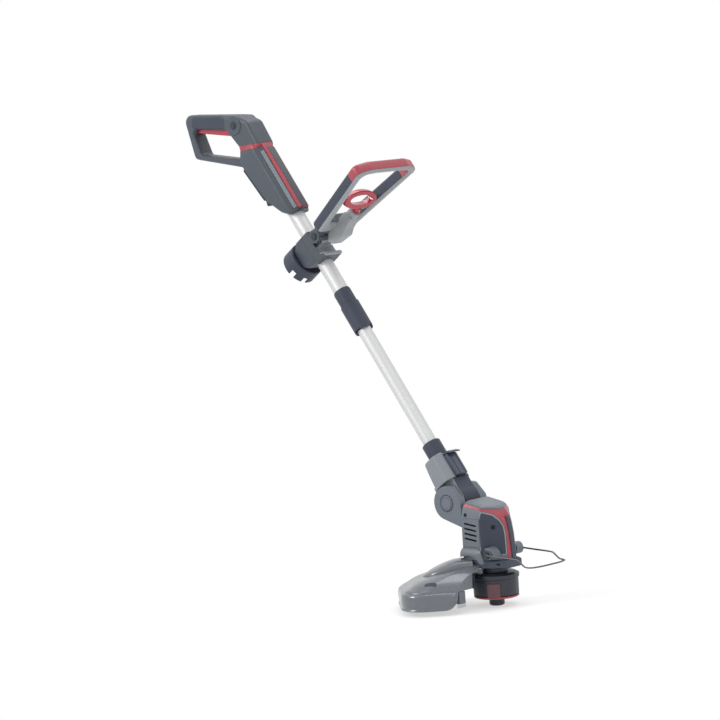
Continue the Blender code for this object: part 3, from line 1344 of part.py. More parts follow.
def guard_turn():
    """From the guard's own frame, x along its middle line, to the world."""
    return Matrix.Rotation(math.pi + GUARD_TURN, 4, "Z")


def ridge_solid():
    """Raised tongue of the guard that runs out from under the housing's moulding."""
    stations = [
        # along the middle line, half width, top
        (0.0400, 0.0270, 0.0850), (0.0640, 0.0250, 0.0840), (0.0710, 0.0252, 0.0823),
        (0.0945, 0.0300, 0.0745), (0.1100, 0.0240, 0.0660), (0.1190, 0.0080, 0.0600),
    ]
    rings = []
    for p, half, top in stations:
        base = dome_height(p / GUARD_REACH) - 0.0015
        shoulder = base + (top - base) * 0.72
        rings.append([
            (p, -half, base), (p, half, base), (p, half * 0.86, shoulder), (p, half * 0.50, top),
            (p, -half * 0.50, top), (p, -half * 0.86, shoulder),
        ])
    return loft(rings)


def make_guard():
    rings = []
    for place, from_end in rim_places():
        rise = 0.0
        if from_end < GUARD_END_ROUND:
            t = 1 - from_end / GUARD_END_ROUND
            rise = GUARD_END_ROUND * (1 - math.sqrt(max(0.0, 1 - t * t)))
        floor = GUARD_END_WALL if from_end < 0.0021 else 1.0
        reach = place.length
        along = place.normalized()
        profile = guard_profile(reach, GUARD_BOTTOM + rise, floor)
        rings.append([(r * along.x, r * along.y, z) for r, z in profile])
    guard = combine(loft(rings), (JOIN, ridge_solid()))
    guard = moved(guard, guard_turn())
    guard = combine(guard, (CUT, prism(flange_outline(GAP), BASE_BOTTOM - GAP, 0.2, "Z")))
    add_piece("guard", guard, "head", "guard_grey")

    well = lathe([
        (WELL_R - WELL_WALL, WELL_BOTTOM), (WELL_R, WELL_BOTTOM), (WELL_R, WELL_TOP),
        (WELL_R - WELL_WALL, WELL_TOP),
    ], 22, (0, 0), math.radians(-46), math.radians(92))
    add_piece("guard_well", moved(well, guard_turn()), "head", "black")


def make_line_cutter():
    end = math.radians(90) - GUARD_TURN
    rim = GUARD_HALF_WIDTH / math.sin(end)
    outer = -(rim - 0.0132)
    bracket = box(-0.0060, 0.0035, outer, outer + 0.0150, 0.0170, GUARD_END_WALL - GAP, 0.0008)
    blade = box(0.0000, 0.0012, outer - 0.0030, outer + 0.0165, 0.0105, 0.0170 - GAP)
    add_piece("blade_bracket", bracket, "head", "black")
    add_piece("line_cutter_blade", blade, "head", "steel")


def make_wire_guard():
    half = WIRE_HALF_WIDTH
    x = WIRE_PIVOT_X
    z = WIRE_PIVOT_Z
    corner = [
        (x, -WIRE_BOSS_OUT + 0.0040, z), (x, -half + 0.0025, z), (x + 0.0012, -half, z),
        (x + 0.0060, -half - 0.0004, z - 0.0002),
    ]
    arm = [
        (x + 0.0330, -half, z - 0.0015), (x + 0.0660, -half, z - 0.0030), (x + 0.0740, -half, z - 0.0055),
        (x + 0.0840, -half, z - 0.0130), (x + 0.0910, -half, z - 0.0147),
        (x + 0.0980, -half + 0.0020, z - 0.0149), (x + 0.1020, -half + 0.0080, z - 0.0149),
    ]
    bar = [(x + 0.1065, -0.0200, z - 0.0147), (x + 0.1075, 0.0, z - 0.0145)]
    right = corner + arm + bar
    path = right + [(px, -py, pz) for px, py, pz in reversed(right[:-1])]
    add_piece("wire_guard", sweep(smooth_path(path, 2), WIRE_R, 6), "wire_guard", "steel")


# Spool

def make_spool():
    rim = CAP_R + CARRIER_PROUD
    carrier = lathe([
        (SPINDLE_R + GAP, CAP_TOP + GAP), (rim - 0.0008, CAP_TOP + GAP), (rim, CAP_TOP + 0.0012),
        (rim, CARRIER_TOP - 0.0030), (rim - 0.0060, CARRIER_TOP), (SPINDLE_R + GAP, CARRIER_TOP),
    ], 32)
    add_piece("spool_carrier", carrier, "spool", "black")

    inner = CAP_R - CAP_WALL
    cap = lathe([
        (KNOB_R + 0.0010, REEL_RIM_TOP + GAP), (CAP_R - 0.0020, REEL_RIM_TOP + GAP),
        (CAP_R, REEL_RIM_TOP + 0.0020), (CAP_R, CAP_TOP), (inner, CAP_TOP),
        (inner, REEL_RIM_TOP + 0.0026), (KNOB_R + 0.0010, REEL_RIM_TOP + 0.0026),
    ], 32)
    cuts = []
    for side in (-1, 1):
        cuts.append((CUT, window_zone(side, GAP, 0.0)))
    add_piece("spool_cap", combine(cap, *cuts), "spool", "black")

    foot = lathe([
        (KNOB_R + 0.0010, CAP_BOTTOM), (CAP_R - 0.0015, CAP_BOTTOM), (CAP_R, CAP_BOTTOM + 0.0012),
        (CAP_R, REEL_RIM_TOP), (KNOB_R + 0.0010, REEL_RIM_TOP),
    ], 32)
    joins = []
    for side in (-1, 1):
        joins.append((JOIN, window_zone(side, 0.0, 0.0008)))
    add_piece("spool_release_ring", combine(foot, *joins), "spool", "red")

    low = REEL_RIM_TOP + 0.0026 + GAP
    high = CAP_TOP
    reel = inner - REEL_CLEAR
    bobbin = lathe([
        (KNOB_FLANGE_R + RUN, low), (reel, low), (reel, low + 0.0016), (REEL_HUB_R, low + 0.0016),
        (REEL_HUB_R, high - 0.0016), (reel, high - 0.0016), (reel, high), (KNOB_FLANGE_R + RUN, high),
    ], 24)
    add_piece("line_reel", bobbin, "spool", "light_grey")

    winding = lathe([
        (REEL_HUB_R + GAP, low + 0.0016 + GAP), (reel - 0.0035, low + 0.0016 + GAP),
        (reel - 0.0020, low + 0.0060), (reel - 0.0020, high - 0.0060),
        (reel - 0.0035, high - 0.0016 - GAP), (REEL_HUB_R + GAP, high - 0.0016 - GAP),
    ], 24)
    add_piece("line_winding", winding, "spool", "line")

    spindle = lathe([
        (0.0, 0.0290), (SPINDLE_R - 0.0008, 0.0290), (SPINDLE_R, 0.0298),
        (SPINDLE_R, MOTOR_TOP + 0.003), (0.0, MOTOR_TOP + 0.003),
    ], 20)
    add_piece("drive_spindle", spindle, "spool", "steel")


def window_zone(side, grow, proud):
    """One of the two windows in the spool cap, where the release tabs sit."""
    low = REEL_RIM_TOP - 0.001 if proud else REEL_RIM_TOP - 0.010
    high = 0.0420 + grow
    outer = CAP_R + (proud if proud else 0.010)
    inner = CAP_R - CAP_WALL - (0.0 if proud else 0.001)
    half = math.atan(WINDOW_HALF_WIDTH / CAP_R) + grow / CAP_R
    middle = WINDOW_ANGLE if side > 0 else WINDOW_ANGLE + math.pi
    return lathe(
        [(inner, low), (outer, low), (outer, high), (inner, high)],
        6, (0, 0), middle - half, 2 * half,
    )


def make_bump_knob():
    seat = REEL_RIM_TOP + 0.0026 + GAP
    knob = lathe([
        (0.0, 0.0), (KNOB_R - 0.0025, 0.0), (KNOB_R, 0.0020), (KNOB_R, seat),
        (KNOB_FLANGE_R, seat), (KNOB_FLANGE_R, KNOB_TOP), (0.0045, KNOB_TOP), (0.0045, 0.0120),
        (0.0, 0.0120),
    ], 32)
    add_piece("bump_knob", knob, "bump_knob", "black")
    spring = helix(0.0072, KNOB_TOP + GAP, CAP_TOP, 5, 0.0006)
    add_piece("bump_spring", spring, "spool", "steel")


# Assembly

def make_bodies():
    trigger_at = grip_point(TRIGGER_U, TRIGGER_V)
    add_body("rear_unit", SHAFT, (0, 0, 0))
    add_body("trigger", SHAFT, (trigger_at[0], 0, trigger_at[1]))
    add_body("lock_off", SHAFT, (LOCK_OFF_X, 0, LOCK_OFF_Z))
    add_body("battery", SHAFT, (BATTERY_FRONT, 0, BATTERY_BOTTOM))
    add_body("battery_latch", SHAFT, (LATCH_PIVOT_X, 0, LATCH_PIVOT_Z))
    add_body("front_handle", HANDLE, (0, 0, 0))
    add_body("release_ring", HANDLE, (RING_X, 0, RING_Z))
    add_body("lock_nut", SHAFT, (0, 0, NUT_BOTTOM))
    add_body("lower_shaft", SHAFT, (0, 0, SOCKET_TOP))
    add_body("swivel", SHAFT, (0, 0, SWIVEL_TOP))
    add_body("swivel_lock", SHAFT, (SWIVEL_FRONT, 0, TAB_BOTTOM))
    add_body("head", HEAD, (TILT_X, 0, TILT_Z))
    add_body("tilt_button", HEAD, (TILT_X, -EAR_OUTER, TILT_Z))
    add_body("wire_guard", HEAD, (WIRE_PIVOT_X, 0, WIRE_PIVOT_Z))
    add_body("spool", HEAD, (0, 0, CAP_BOTTOM))
    add_body("bump_knob", HEAD, (0, 0, 0))


def main():
    clear_scene()
    make_bodies()
    make_rear_housing()
    make_rear_internals()
    make_trigger()
    make_lock_off()
    make_battery()
    make_battery_latch()
    make_tubes()
    make_telescopic_lock()
    make_clamp()
    make_front_handle()
    make_release_ring()
    make_swivel()
    make_tube_socket()
    make_head_housing()
    make_vent_panels()
    make_head_covers()
    make_guard()
    make_line_cutter()
    make_wire_guard()
    make_spool()
    make_bump_knob()


main()
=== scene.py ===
"""Looks of the cordless string trimmer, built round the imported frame.

Metres, +Z up along the spool axis, +X forward, +Y to the operator's left.
Pieces on the shaft are drawn in the shaft frame (x across it towards the front, z up along it)
and pieces of the front handle in the handle's frame on its pivot, as in the part's source.
"""

from math import atan2, cos, hypot, pi, radians, sin, sqrt, tan

import bmesh
import bpy
from mathutils import Matrix, Vector
from mathutils.bvhtree import BVHTree


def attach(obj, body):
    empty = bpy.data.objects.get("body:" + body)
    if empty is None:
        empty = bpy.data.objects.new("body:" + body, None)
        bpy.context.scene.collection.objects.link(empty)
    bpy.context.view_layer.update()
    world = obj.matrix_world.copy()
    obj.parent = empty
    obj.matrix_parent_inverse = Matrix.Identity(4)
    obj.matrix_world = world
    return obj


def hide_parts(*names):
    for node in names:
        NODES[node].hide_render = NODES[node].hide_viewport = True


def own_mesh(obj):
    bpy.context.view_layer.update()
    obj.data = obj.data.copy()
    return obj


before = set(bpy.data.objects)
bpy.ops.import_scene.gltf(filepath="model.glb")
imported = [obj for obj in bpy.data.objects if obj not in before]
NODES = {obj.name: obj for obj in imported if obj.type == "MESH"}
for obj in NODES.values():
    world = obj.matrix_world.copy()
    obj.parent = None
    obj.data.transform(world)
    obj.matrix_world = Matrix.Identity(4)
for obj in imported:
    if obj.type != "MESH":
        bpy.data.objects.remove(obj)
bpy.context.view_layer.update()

# Camera, found from the shaft's line and the spool's ellipses in the photograph
CAMERA_AT = Vector((3.58970271, -4.02141942, 0.95699124))
CAMERA_RIGHT = Vector((0.7226141, 0.68835458, -0.06322054))
CAMERA_UP = Vector((-0.0211899, 0.11347355, 0.99331503))
SENSOR = 36.0
LENS = 159.5

# Frames of the shaft and of the front handle
SHAFT_LEAN = radians(36.0)
SHAFT_AHEAD = 0.0070
TILT_X = -0.0700
TILT_Z = 0.1765
SHAFT = Matrix.Translation((
    TILT_X + SHAFT_AHEAD * cos(SHAFT_LEAN), 0.0, TILT_Z + SHAFT_AHEAD * sin(SHAFT_LEAN),
)) @ Matrix.Rotation(-SHAFT_LEAN, 4, "Y")
HANDLE = SHAFT @ Matrix.Translation((0.0300, 0.0, 0.5400))
WORLD = Matrix.Identity(4)

# Colours, linear
SLATE = (0.048, 0.060, 0.077)
SLATE_WORN = (0.130, 0.145, 0.165)
PALE_SLATE = (0.115, 0.133, 0.160)
PALE_SLATE_WORN = (0.250, 0.265, 0.285)
DARK_SLATE = (0.038, 0.049, 0.074)
DARK_SLATE_WORN = (0.090, 0.100, 0.125)
NAVY = (0.023, 0.031, 0.054)
COVER_BLUE = (0.042, 0.055, 0.085)
# the swivel shells' slate raised to a lighter grey: partly their own colour, partly painted highlight
SWIVEL_HIGHLIT_GREY = (0.185, 0.203, 0.228)
NAVY_WORN = (0.070, 0.080, 0.105)
LIGHT_GREY = (0.270, 0.288, 0.305)
LIGHT_GREY_WORN = (0.420, 0.435, 0.450)
BLACK = (0.014, 0.018, 0.029)
BLACK_WORN = (0.045, 0.050, 0.065)
# painted shade: near black for the shade inside screw holes and the foot's notch
HOLE_SHADE = (0.003, 0.003, 0.004)
# painted highlight: a pale grey for the light that the chamfer beside each red flank catches
CHAMFER_HIGHLIGHT_GREY = (0.170, 0.200, 0.225)
RED = (0.320, 0.040, 0.058)
RED_WORN = (0.500, 0.140, 0.150)
RED_SMOKED = (0.085, 0.018, 0.030)
RED_CLEAR = (0.380, 0.012, 0.034)
GUARD_GREY = (0.125, 0.137, 0.156)
GUARD_WORN = (0.420, 0.440, 0.460)
SILVER = (0.590, 0.593, 0.597)
STEEL = (0.480, 0.485, 0.495)
WIRE_DARK = (0.120, 0.122, 0.128)
COPPER = (0.700, 0.400, 0.250)
NYLON = (0.640, 0.230, 0.060)
PAPER_WHITE = (0.900, 0.900, 0.900)


# Nodes

MIX_A, MIX_B, MIX_COLOUR = 6, 7, 2      # the colour sockets of a Mix node


def put(tree, kind, inputs=None, **settings):
    """A shader node with its settings; inputs are values or sockets to link from."""
    made = tree.nodes.new("ShaderNode" + kind)
    for key, value in settings.items():
        setattr(made, key, value)
    for key, value in (inputs or {}).items():
        socket = made.inputs[key]
        if isinstance(value, bpy.types.NodeSocket):
            tree.links.new(value, socket)
        else:
            socket.default_value = value
    return made


def solid(colour):
    return (colour[0], colour[1], colour[2], 1.0)


def noise(tree, place, scale, detail, rough, distortion=0.0):
    return put(tree, "TexNoise", {
        "Vector": place, "Scale": scale, "Detail": detail, "Roughness": rough, "Distortion": distortion,
    }).outputs["Fac"]


def maths(tree, operation, first, second, **settings):
    return put(tree, "Math", {0: first, 1: second}, operation=operation, **settings).outputs[0]


def remap(tree, value, source, target, **settings):
    """A value taken from one range to another."""
    return put(tree, "MapRange", {
        "Value": value, "From Min": source[0], "From Max": source[1],
        "To Min": target[0], "To Max": target[1],
    }, **settings).outputs[0]


def new_group(name, inputs, outputs):
    """A shader node group with float sockets; inputs carry their usual values."""
    group = bpy.data.node_groups.new(name, "ShaderNodeTree")
    for label, value in inputs:
        socket = group.interface.new_socket(name=label, in_out="INPUT", socket_type="NodeSocketFloat")
        socket.default_value = value
    for label in outputs:
        group.interface.new_socket(name=label, in_out="OUTPUT", socket_type="NodeSocketFloat")
    return group, group.nodes.new("NodeGroupInput").outputs, group.nodes.new("NodeGroupOutput").inputs


def build_moulded_skin():
    """Fine spark-eroded grain of moulded plastic, with slow changes of tone and gloss."""
    group, given, result = new_group(
        "moulded_skin", [("Grain scale", 1500.0), ("Tone scale", 14.0)], ["Height", "Tone", "Gloss"]
    )
    place = put(group, "TexCoord").outputs["Object"]
    pits = put(group, "TexVoronoi", {"Vector": place, "Scale": given["Grain scale"]},
               feature="SMOOTH_F1")
    haze = noise(group, place, given["Grain scale"], 3.0, 0.6)
    group.links.new(maths(group, "ADD", pits.outputs["Distance"], haze), result["Height"])
    group.links.new(noise(group, place, given["Tone scale"], 4.0, 0.55), result["Tone"])
    group.links.new(noise(group, place, 55.0, 5.0, 0.65, 0.6), result["Gloss"])
    return group


def build_edge_wear():
    """Mask of rubbed edges: where the rounded normal leaves the face's own one."""
    group, given, result = new_group("edge_wear", [("Width", 0.0008), ("Amount", 1.0)], ["Mask"])
    bevel = put(group, "Bevel", {"Radius": given["Width"]}, samples=4)
    normal = put(group, "NewGeometry").outputs["Normal"]
    along = put(group, "VectorMath", {0: bevel.outputs["Normal"], 1: normal},
                operation="DOT_PRODUCT")
    turned = remap(group, along.outputs["Value"], (0.97, 0.75), (0.0, 1.0))
    place = put(group, "TexCoord").outputs["Object"]
    broken = remap(group, noise(group, place, 160.0, 4.0, 0.7), (0.35, 0.65), (0.25, 1.0))
    mask = maths(group, "MULTIPLY", turned, broken)
    group.links.new(maths(group, "MULTIPLY", mask, given["Amount"], use_clamp=True), result["Mask"])
    return group


def build_drawn_metal():
    """Fine lines along the shaft, as a drawn tube has them."""
    group, given, result = new_group("drawn_metal", [("Line scale", 900.0)], ["Height", "Tone"])
    place = put(group, "TexCoord").outputs["Object"]
    turned = put(group, "VectorRotate", {"Vector": place, "Angle": SHAFT_LEAN},
                 rotation_type="Y_AXIS")
    drawn_out = put(group, "Mapping", {"Vector": turned.outputs[0], "Scale": (1.0, 1.0, 0.012)})
    lines = noise(group, drawn_out.outputs[0], given["Line scale"], 3.0, 0.6)
    group.links.new(lines, result["Height"])
    group.links.new(noise(group, place, 12.0, 3.0, 0.5), result["Tone"])
    return group


SKIN = build_moulded_skin()
WEAR = build_edge_wear()
DRAWN = build_drawn_metal()


def empty_material(name):
    made = bpy.data.materials.new(name)
    made.use_nodes = True
    made.node_tree.nodes.clear()
    return made, made.node_tree


def shaded(colour, share):
    return solid([max(0.0, min(1.0, c * share)) for c in colour])


def toned(tree, tone, colour, spread):
    """The colour, a little darker and lighter as the tone goes."""
    return put(tree, "Mix", {
        "Factor": tone, MIX_A: shaded(colour, 1 - spread), MIX_B: shaded(colour, 1 + spread),
    }, data_type="RGBA").outputs[MIX_COLOUR]


def surface(tree, colour, gloss, rough, height, strength, depth, **values):
    """The shader: its roughness varies round rough, and height bumps it; values set other inputs."""
    bump = put(tree, "Bump", {"Height": height, "Strength": strength, "Distance": depth})
    shader = put(tree, "BsdfPrincipled", {
        "Base Color": colour, "Roughness": remap(tree, gloss, (0.3, 0.7), (rough - 0.05, rough + 0.06)),
        "Normal": bump.outputs[0],
    })
    for key, value in values.items():
        shader.inputs[key.replace("_", " ").title()].default_value = value
    put(tree, "OutputMaterial", {"Surface": shader.outputs[0]})


def plastic(name, colour, worn, rough, grain=1500.0, depth=0.00002, spread=0.10, wear=0.5, coat=0.0,
            coat_rough=0.1, sheen=0.0, metallic=0.0):
    """Moulded plastic or rubber: toned colour, rubbed edges and an eroded grain."""
    made, tree = empty_material(name)
    skin = put(tree, "Group", node_tree=SKIN)
    skin.inputs["Grain scale"].default_value = grain
    edge = put(tree, "Group", node_tree=WEAR)
    edge.inputs["Amount"].default_value = wear
    rubbed = put(tree, "Mix", {
        "Factor": edge.outputs["Mask"], MIX_A: toned(tree, skin.outputs["Tone"], colour, spread),
        MIX_B: solid(worn),
    }, data_type="RGBA")
    surface(tree, rubbed.outputs[MIX_COLOUR], skin.outputs["Gloss"], rough, skin.outputs["Height"], 0.4,
            depth, coat_weight=coat, coat_roughness=coat_rough, sheen_weight=sheen, metallic=metallic)
    return made


def metal(name, colour, rough, depth=0.000004, spread=0.06, lines=900.0, strength=0.15, metallic=1.0):
    """Drawn or brushed metal with fine lines along it."""
    made, tree = empty_material(name)
    drawn = put(tree, "Group", node_tree=DRAWN)
    drawn.inputs["Line scale"].default_value = lines
    height = drawn.outputs["Height"]
    surface(tree, toned(tree, drawn.outputs["Tone"], colour, spread), height, rough, height, strength, depth,
            metallic=metallic)
    return made


slate = plastic("slate_plastic", SLATE, SLATE_WORN, 0.46, coat=0.08, coat_rough=0.30)
pale_slate = plastic("pale_slate_plastic", PALE_SLATE, PALE_SLATE_WORN, 0.42, coat=0.10, coat_rough=0.25)
dark_slate = plastic("dark_slate_plastic", DARK_SLATE, DARK_SLATE_WORN, 0.48, coat=0.05, coat_rough=0.30)
navy = plastic("navy_rubber", NAVY, NAVY_WORN, 0.60, grain=900.0, depth=0.00004, sheen=0.08)
cover_blue = plastic("blue_grey_cover", COVER_BLUE, NAVY_WORN, 0.36, coat=0.25, coat_rough=0.18)
# lighter grey for the swivel shells, partly painted highlight
swivel_highlit_grey = plastic("swivel_highlit_grey_plastic", SWIVEL_HIGHLIT_GREY, LIGHT_GREY_WORN, 0.40, coat=0.12, coat_rough=0.22)
light = plastic("light_grey_plastic", LIGHT_GREY, LIGHT_GREY_WORN, 0.46, coat=0.05, coat_rough=0.3)
black = plastic("black_plastic", BLACK, BLACK_WORN, 0.42, coat=0.06, coat_rough=0.25)
# near black standing for the shade in holes: painted shade
painted_hole_shade = plastic("painted_hole_shade", HOLE_SHADE, HOLE_SHADE, 0.85, wear=0.0)
# the pale strips beside the red flanks are painted highlight on the chamfer
chamfer_highlight = plastic("painted_chamfer_highlight", CHAMFER_HIGHLIGHT_GREY, LIGHT_GREY_WORN, 0.34, coat=0.10, coat_rough=0.20)
red = plastic("red_plastic", RED, RED_WORN, 0.38, depth=0.00001, coat=0.15, coat_rough=0.20)
red_smoked = plastic("smoked_red_window", RED_SMOKED, RED, 0.24, depth=0.000004, wear=0.2, coat=0.4,
                     coat_rough=0.08)
red_gloss = plastic("red_glossy_plastic", RED_CLEAR, RED_WORN, 0.24, depth=0.000004, wear=0.2, coat=0.6,
                    coat_rough=0.06)
guard_paint = plastic("silver_grey_plastic", GUARD_GREY, GUARD_WORN, 0.30, depth=0.000003, spread=0.06,
                      wear=0.10, coat=0.50, coat_rough=0.10, metallic=0.25)
nylon = plastic("nylon_line", NYLON, NYLON, 0.35, depth=0.000005, wear=0.0)
tube_metal = metal("silver_tube", SILVER, 0.42, depth=0.0000004, spread=0.03, lines=300.0, strength=0.02,
                   metallic=0.45)
steel = metal("bright_steel", STEEL, 0.32, lines=400.0)
wire_metal = metal("dark_wire", WIRE_DARK, 0.40, lines=400.0)
contact = metal("contact_copper", COPPER, 0.38, lines=300.0)

FINISHES = {
    slate: (
        "clamp_front", "clamp_rear", "rear_housing_left", "rear_housing_right", "spine_cover",
        "front_handle_base", "swivel_lock_tab",
    ),
    pale_slate: (
        "head_deck", "motor_housing_left", "motor_housing_right", "vent_panel_left", "vent_panel_right",
        "blade_bracket", "tilt_button",
    ),
    swivel_highlit_grey: ("swivel_shell_left", "swivel_shell_right"),
    cover_blue: ("swivel_front_cover",),
    dark_slate: ("base_flange", "nose_spine"),
    navy: (
        "front_grip_left", "front_grip_right", "grip_pad_left", "grip_pad_right", "lock_collar",
        "lock_nut", "spare_spool_holder", "tube_socket",
    ),
    light: ("front_handle_lower_shell", "line_reel"),
    black: (
        "battery_case", "battery_latch", "bump_knob", "collet", "front_handle_bolt", "guard_well",
        "lock_off_button", "spool_cap", "spool_carrier", "switch_module", "tilt_bolt",
    ),
    red: ("accent_band", "front_handle_cap", "head_accent", "spool_release_ring"),
    red_gloss: ("release_ring", "trigger_lever"),
    guard_paint: ("guard",),
    nylon: ("line_winding",),
    tube_metal: ("lower_tube", "upper_tube"),
    wire_metal: ("wire_guard",),
    contact: ("battery_terminal_block",),
    steel: (
        "bump_spring", "drive_spindle", "line_cutter_blade", "motor", "release_spring",
        "spindle_bearing", "trigger_pin", "trigger_spring",
    ),
}
ROUND_EDGE = 0.00035      # small edge rounding on every moulded piece
CREASE = radians(32)
DETAIL_CREASE = radians(35)
NODE_CREASE = radians(28)
WELD_WITHIN = 0.000002
FLAT_WITHIN = radians(0.4)
FACE_WEIGHT = 60          # how far large faces lead the shading
CLAMP_LIP_TOP = 0.5185    # the clamp's lip ends here along the shaft
CLAMP_LIP_REAR = 0.0192
CLAMP_HOLLOW_TOP = 0.5300     # and the wall behind it, between the cheeks, here
CLAMP_HOLLOW_REAR = 0.0160
CLAMP_HOLLOW_HALF = 0.0120
WINDOWS_BOTTOM = 0.0200   # of the spool's release ring


def bevel(piece, width, crease):
    edges = piece.modifiers.new("edges", "BEVEL")
    edges.width = width
    edges.segments = 2
    edges.limit_method = "ANGLE"
    edges.angle_limit = crease
    return edges


def round_off(piece, width):
    """Joins the mesh, rounds its edges a little and evens out the shading."""
    join = piece.modifiers.new("join", "WELD")
    join.merge_threshold = WELD_WITHIN
    flats = piece.modifiers.new("flats", "DECIMATE")
    flats.decimate_type = "DISSOLVE"
    flats.angle_limit = FLAT_WITHIN
    if width > 0:
        bevel(piece, width, NODE_CREASE)
    even = piece.modifiers.new("even", "WEIGHTED_NORMAL")
    even.weight = FACE_WEIGHT
    even.keep_sharp = True


def dress_nodes():
    for finish, names in FINISHES.items():
        for name in names:
            node = NODES[name]
            mesh = node.data
            mesh.materials.clear()
            mesh.materials.append(finish)
            for layer in ("custom_normal", "sharp_edge", "sharp_face"):
                if layer in mesh.attributes:
                    mesh.attributes.remove(mesh.attributes[layer])
            mesh.shade_smooth()
            round_off(node, 0.0 if finish in (steel, wire_metal, nylon, contact) else ROUND_EDGE)


def paint_part(name, finish, chosen):
    """A second finish on the faces of a node whose middle is chosen."""
    mesh = NODES[name].data
    mesh.materials.append(finish)
    for face in mesh.polygons:
        if chosen(face.center):
            face.material_index = len(mesh.materials) - 1


def on_clamp_lip(place):
    """Whether a place is on the clamp's lip or on the wall of the hollow behind it."""
    across, _, along = SHAFT.inverted() @ place
    if along < CLAMP_LIP_TOP and across > CLAMP_LIP_REAR:
        return True
    return along < CLAMP_HOLLOW_TOP and across > CLAMP_HOLLOW_REAR and abs(place.y) < CLAMP_HOLLOW_HALF


def on_window(place):
    return place.z > WINDOWS_BOTTOM


dress_nodes()
paint_part("clamp_front", light, on_clamp_lip)
paint_part("spool_release_ring", red_smoked, on_window)


# Outlines and solids, as in the part's source

def arc(cx, cy, radius, start, end, steps):
    """Points on an arc, angles in degrees."""
    points = []
    for i in range(steps + 1):
        a = radians(start + (end - start) * i / steps)
        points.append((cx + radius * cos(a), cy + radius * sin(a)))
    return points


def rounded(corners, steps):
    """A closed outline from corners (u, v, radius), each corner an arc tangent to its sides."""
    points = []
    count = len(corners)
    for i, (u, v, radius) in enumerate(corners):
        here = Vector((u, v))
        before = Vector(corners[i - 1][:2]) - here
        after = Vector(corners[(i + 1) % count][:2]) - here
        if radius <= 0:
            points.append((u, v))
            continue
        turn = before.angle(after)
        reach = radius / tan(turn / 2)
        reach = min(reach, before.length * 0.49, after.length * 0.49)
        radius = reach * tan(turn / 2)
        start = here + before.normalized() * reach
        end = here + after.normalized() * reach
        middle = before.normalized() + after.normalized()
        centre = here + middle.normalized() * hypot(reach, radius)
        a = atan2(start.y - centre.y, start.x - centre.x)
        b = atan2(end.y - centre.y, end.x - centre.x)
        swing = (b - a + pi) % (2 * pi) - pi
        for k in range(steps + 1):
            angle = a + swing * k / steps
            points.append((centre.x + radius * cos(angle), centre.y + radius * sin(angle)))
    return points


def offset(points, distance):
    """The outline moved outwards by distance, or inwards where it is negative."""
    count = len(points)
    area = sum(
        points[i][0] * points[(i + 1) % count][1] - points[(i + 1) % count][0] * points[i][1]
        for i in range(count)
    )
    side = 1 if area > 0 else -1
    result = []
    for i in range(count):
        before = Vector(points[i]) - Vector(points[i - 1])
        after = Vector(points[(i + 1) % count]) - Vector(points[i])
        n1 = Vector((before.y, -before.x)).normalized() * side
        n2 = Vector((after.y, -after.x)).normalized() * side
        normal = n1 + n2
        normal *= 1 / max(normal.length_squared / 2, 0.3)
        result.append((points[i][0] + normal.x * distance, points[i][1] + normal.y * distance))
    return result


AXES = {
    "X": lambda u, v, w: (w, u, v),
    "Y": lambda u, v, w: (u, w, v),
    "Z": lambda u, v, w: (u, v, w),
}


def loft(rings, closed=False):
    """A solid through rings of equal point counts, capped at its ends or closed on itself."""
    bm = bmesh.new()
    made = [[bm.verts.new(p) for p in ring] for ring in rings]
    count = len(made[0])
    pairs = list(zip(made, made[1:])) + ([(made[-1], made[0])] if closed else [])
    for low, high in pairs:
        for i in range(count):
            j = (i + 1) % count
            bm.faces.new((low[i], low[j], high[j], high[i]))
    if not closed:
        bm.faces.new(made[0][::-1])
        bm.faces.new(made[-1])
    bmesh.ops.recalc_face_normals(bm, faces=bm.faces)
    return bm


def prism(outline, low, high, axis, edge=0.0, steps=4):
    """An extruded outline; edge rounds its two rims by that radius."""
    place = AXES[axis]
    levels = [(low, 0.0), (high, 0.0)]
    if edge > 0:
        levels = []
        for i in range(steps + 1):
            a = pi / 2 * i / steps
            levels.append((low + edge * (1 - cos(a)), -edge * (1 - sin(a))))
        levels += [(low + high - w, d) for w, d in reversed(levels)]
    rings = []
    for w, inset in levels:
        rings.append([place(u, v, w) for u, v in offset(outline, inset)])
    return loft(rings)


def lathe(profile, steps):
    """A closed profile of (r, z) turned all round Z."""
    rings = []
    for i in range(steps):
        a = 2 * pi * i / steps
        rings.append([(r * cos(a), r * sin(a), z) for r, z in profile])
    bm = loft(rings, closed=True)
    bmesh.ops.remove_doubles(bm, verts=bm.verts, dist=1e-7)
    return bm


def box(x0, x1, y0, y1, z0, z1):
    return prism([(x0, y0), (x1, y0), (x1, y1), (x0, y1)], z0, z1, "Z")


def ellipse(half_u, half_v, steps, rise=0.0):
    """Points of an ellipse about (0, rise)."""
    turns = [2 * pi * i / steps for i in range(steps)]
    return [(half_u * cos(a), rise + half_v * sin(a)) for a in turns]


def bead_round(path, radius, sides):
    """A round bead along a closed line of vectors."""
    count = len(path)
    normal = None
    rings = []
    for i, here in enumerate(path):
        ahead = path[(i + 1) % count] - path[i - 1]
        ahead.normalize()
        if normal is None:
            normal = ahead.orthogonal().normalized()
        normal = (normal - ahead * normal.dot(ahead)).normalized()
        across = ahead.cross(normal)
        ring = []
        for k in range(sides):
            a = 2 * pi * k / sides
            ring.append(here + (normal * cos(a) + across * sin(a)) * radius)
        rings.append(ring)
    return loft(rings, closed=True)


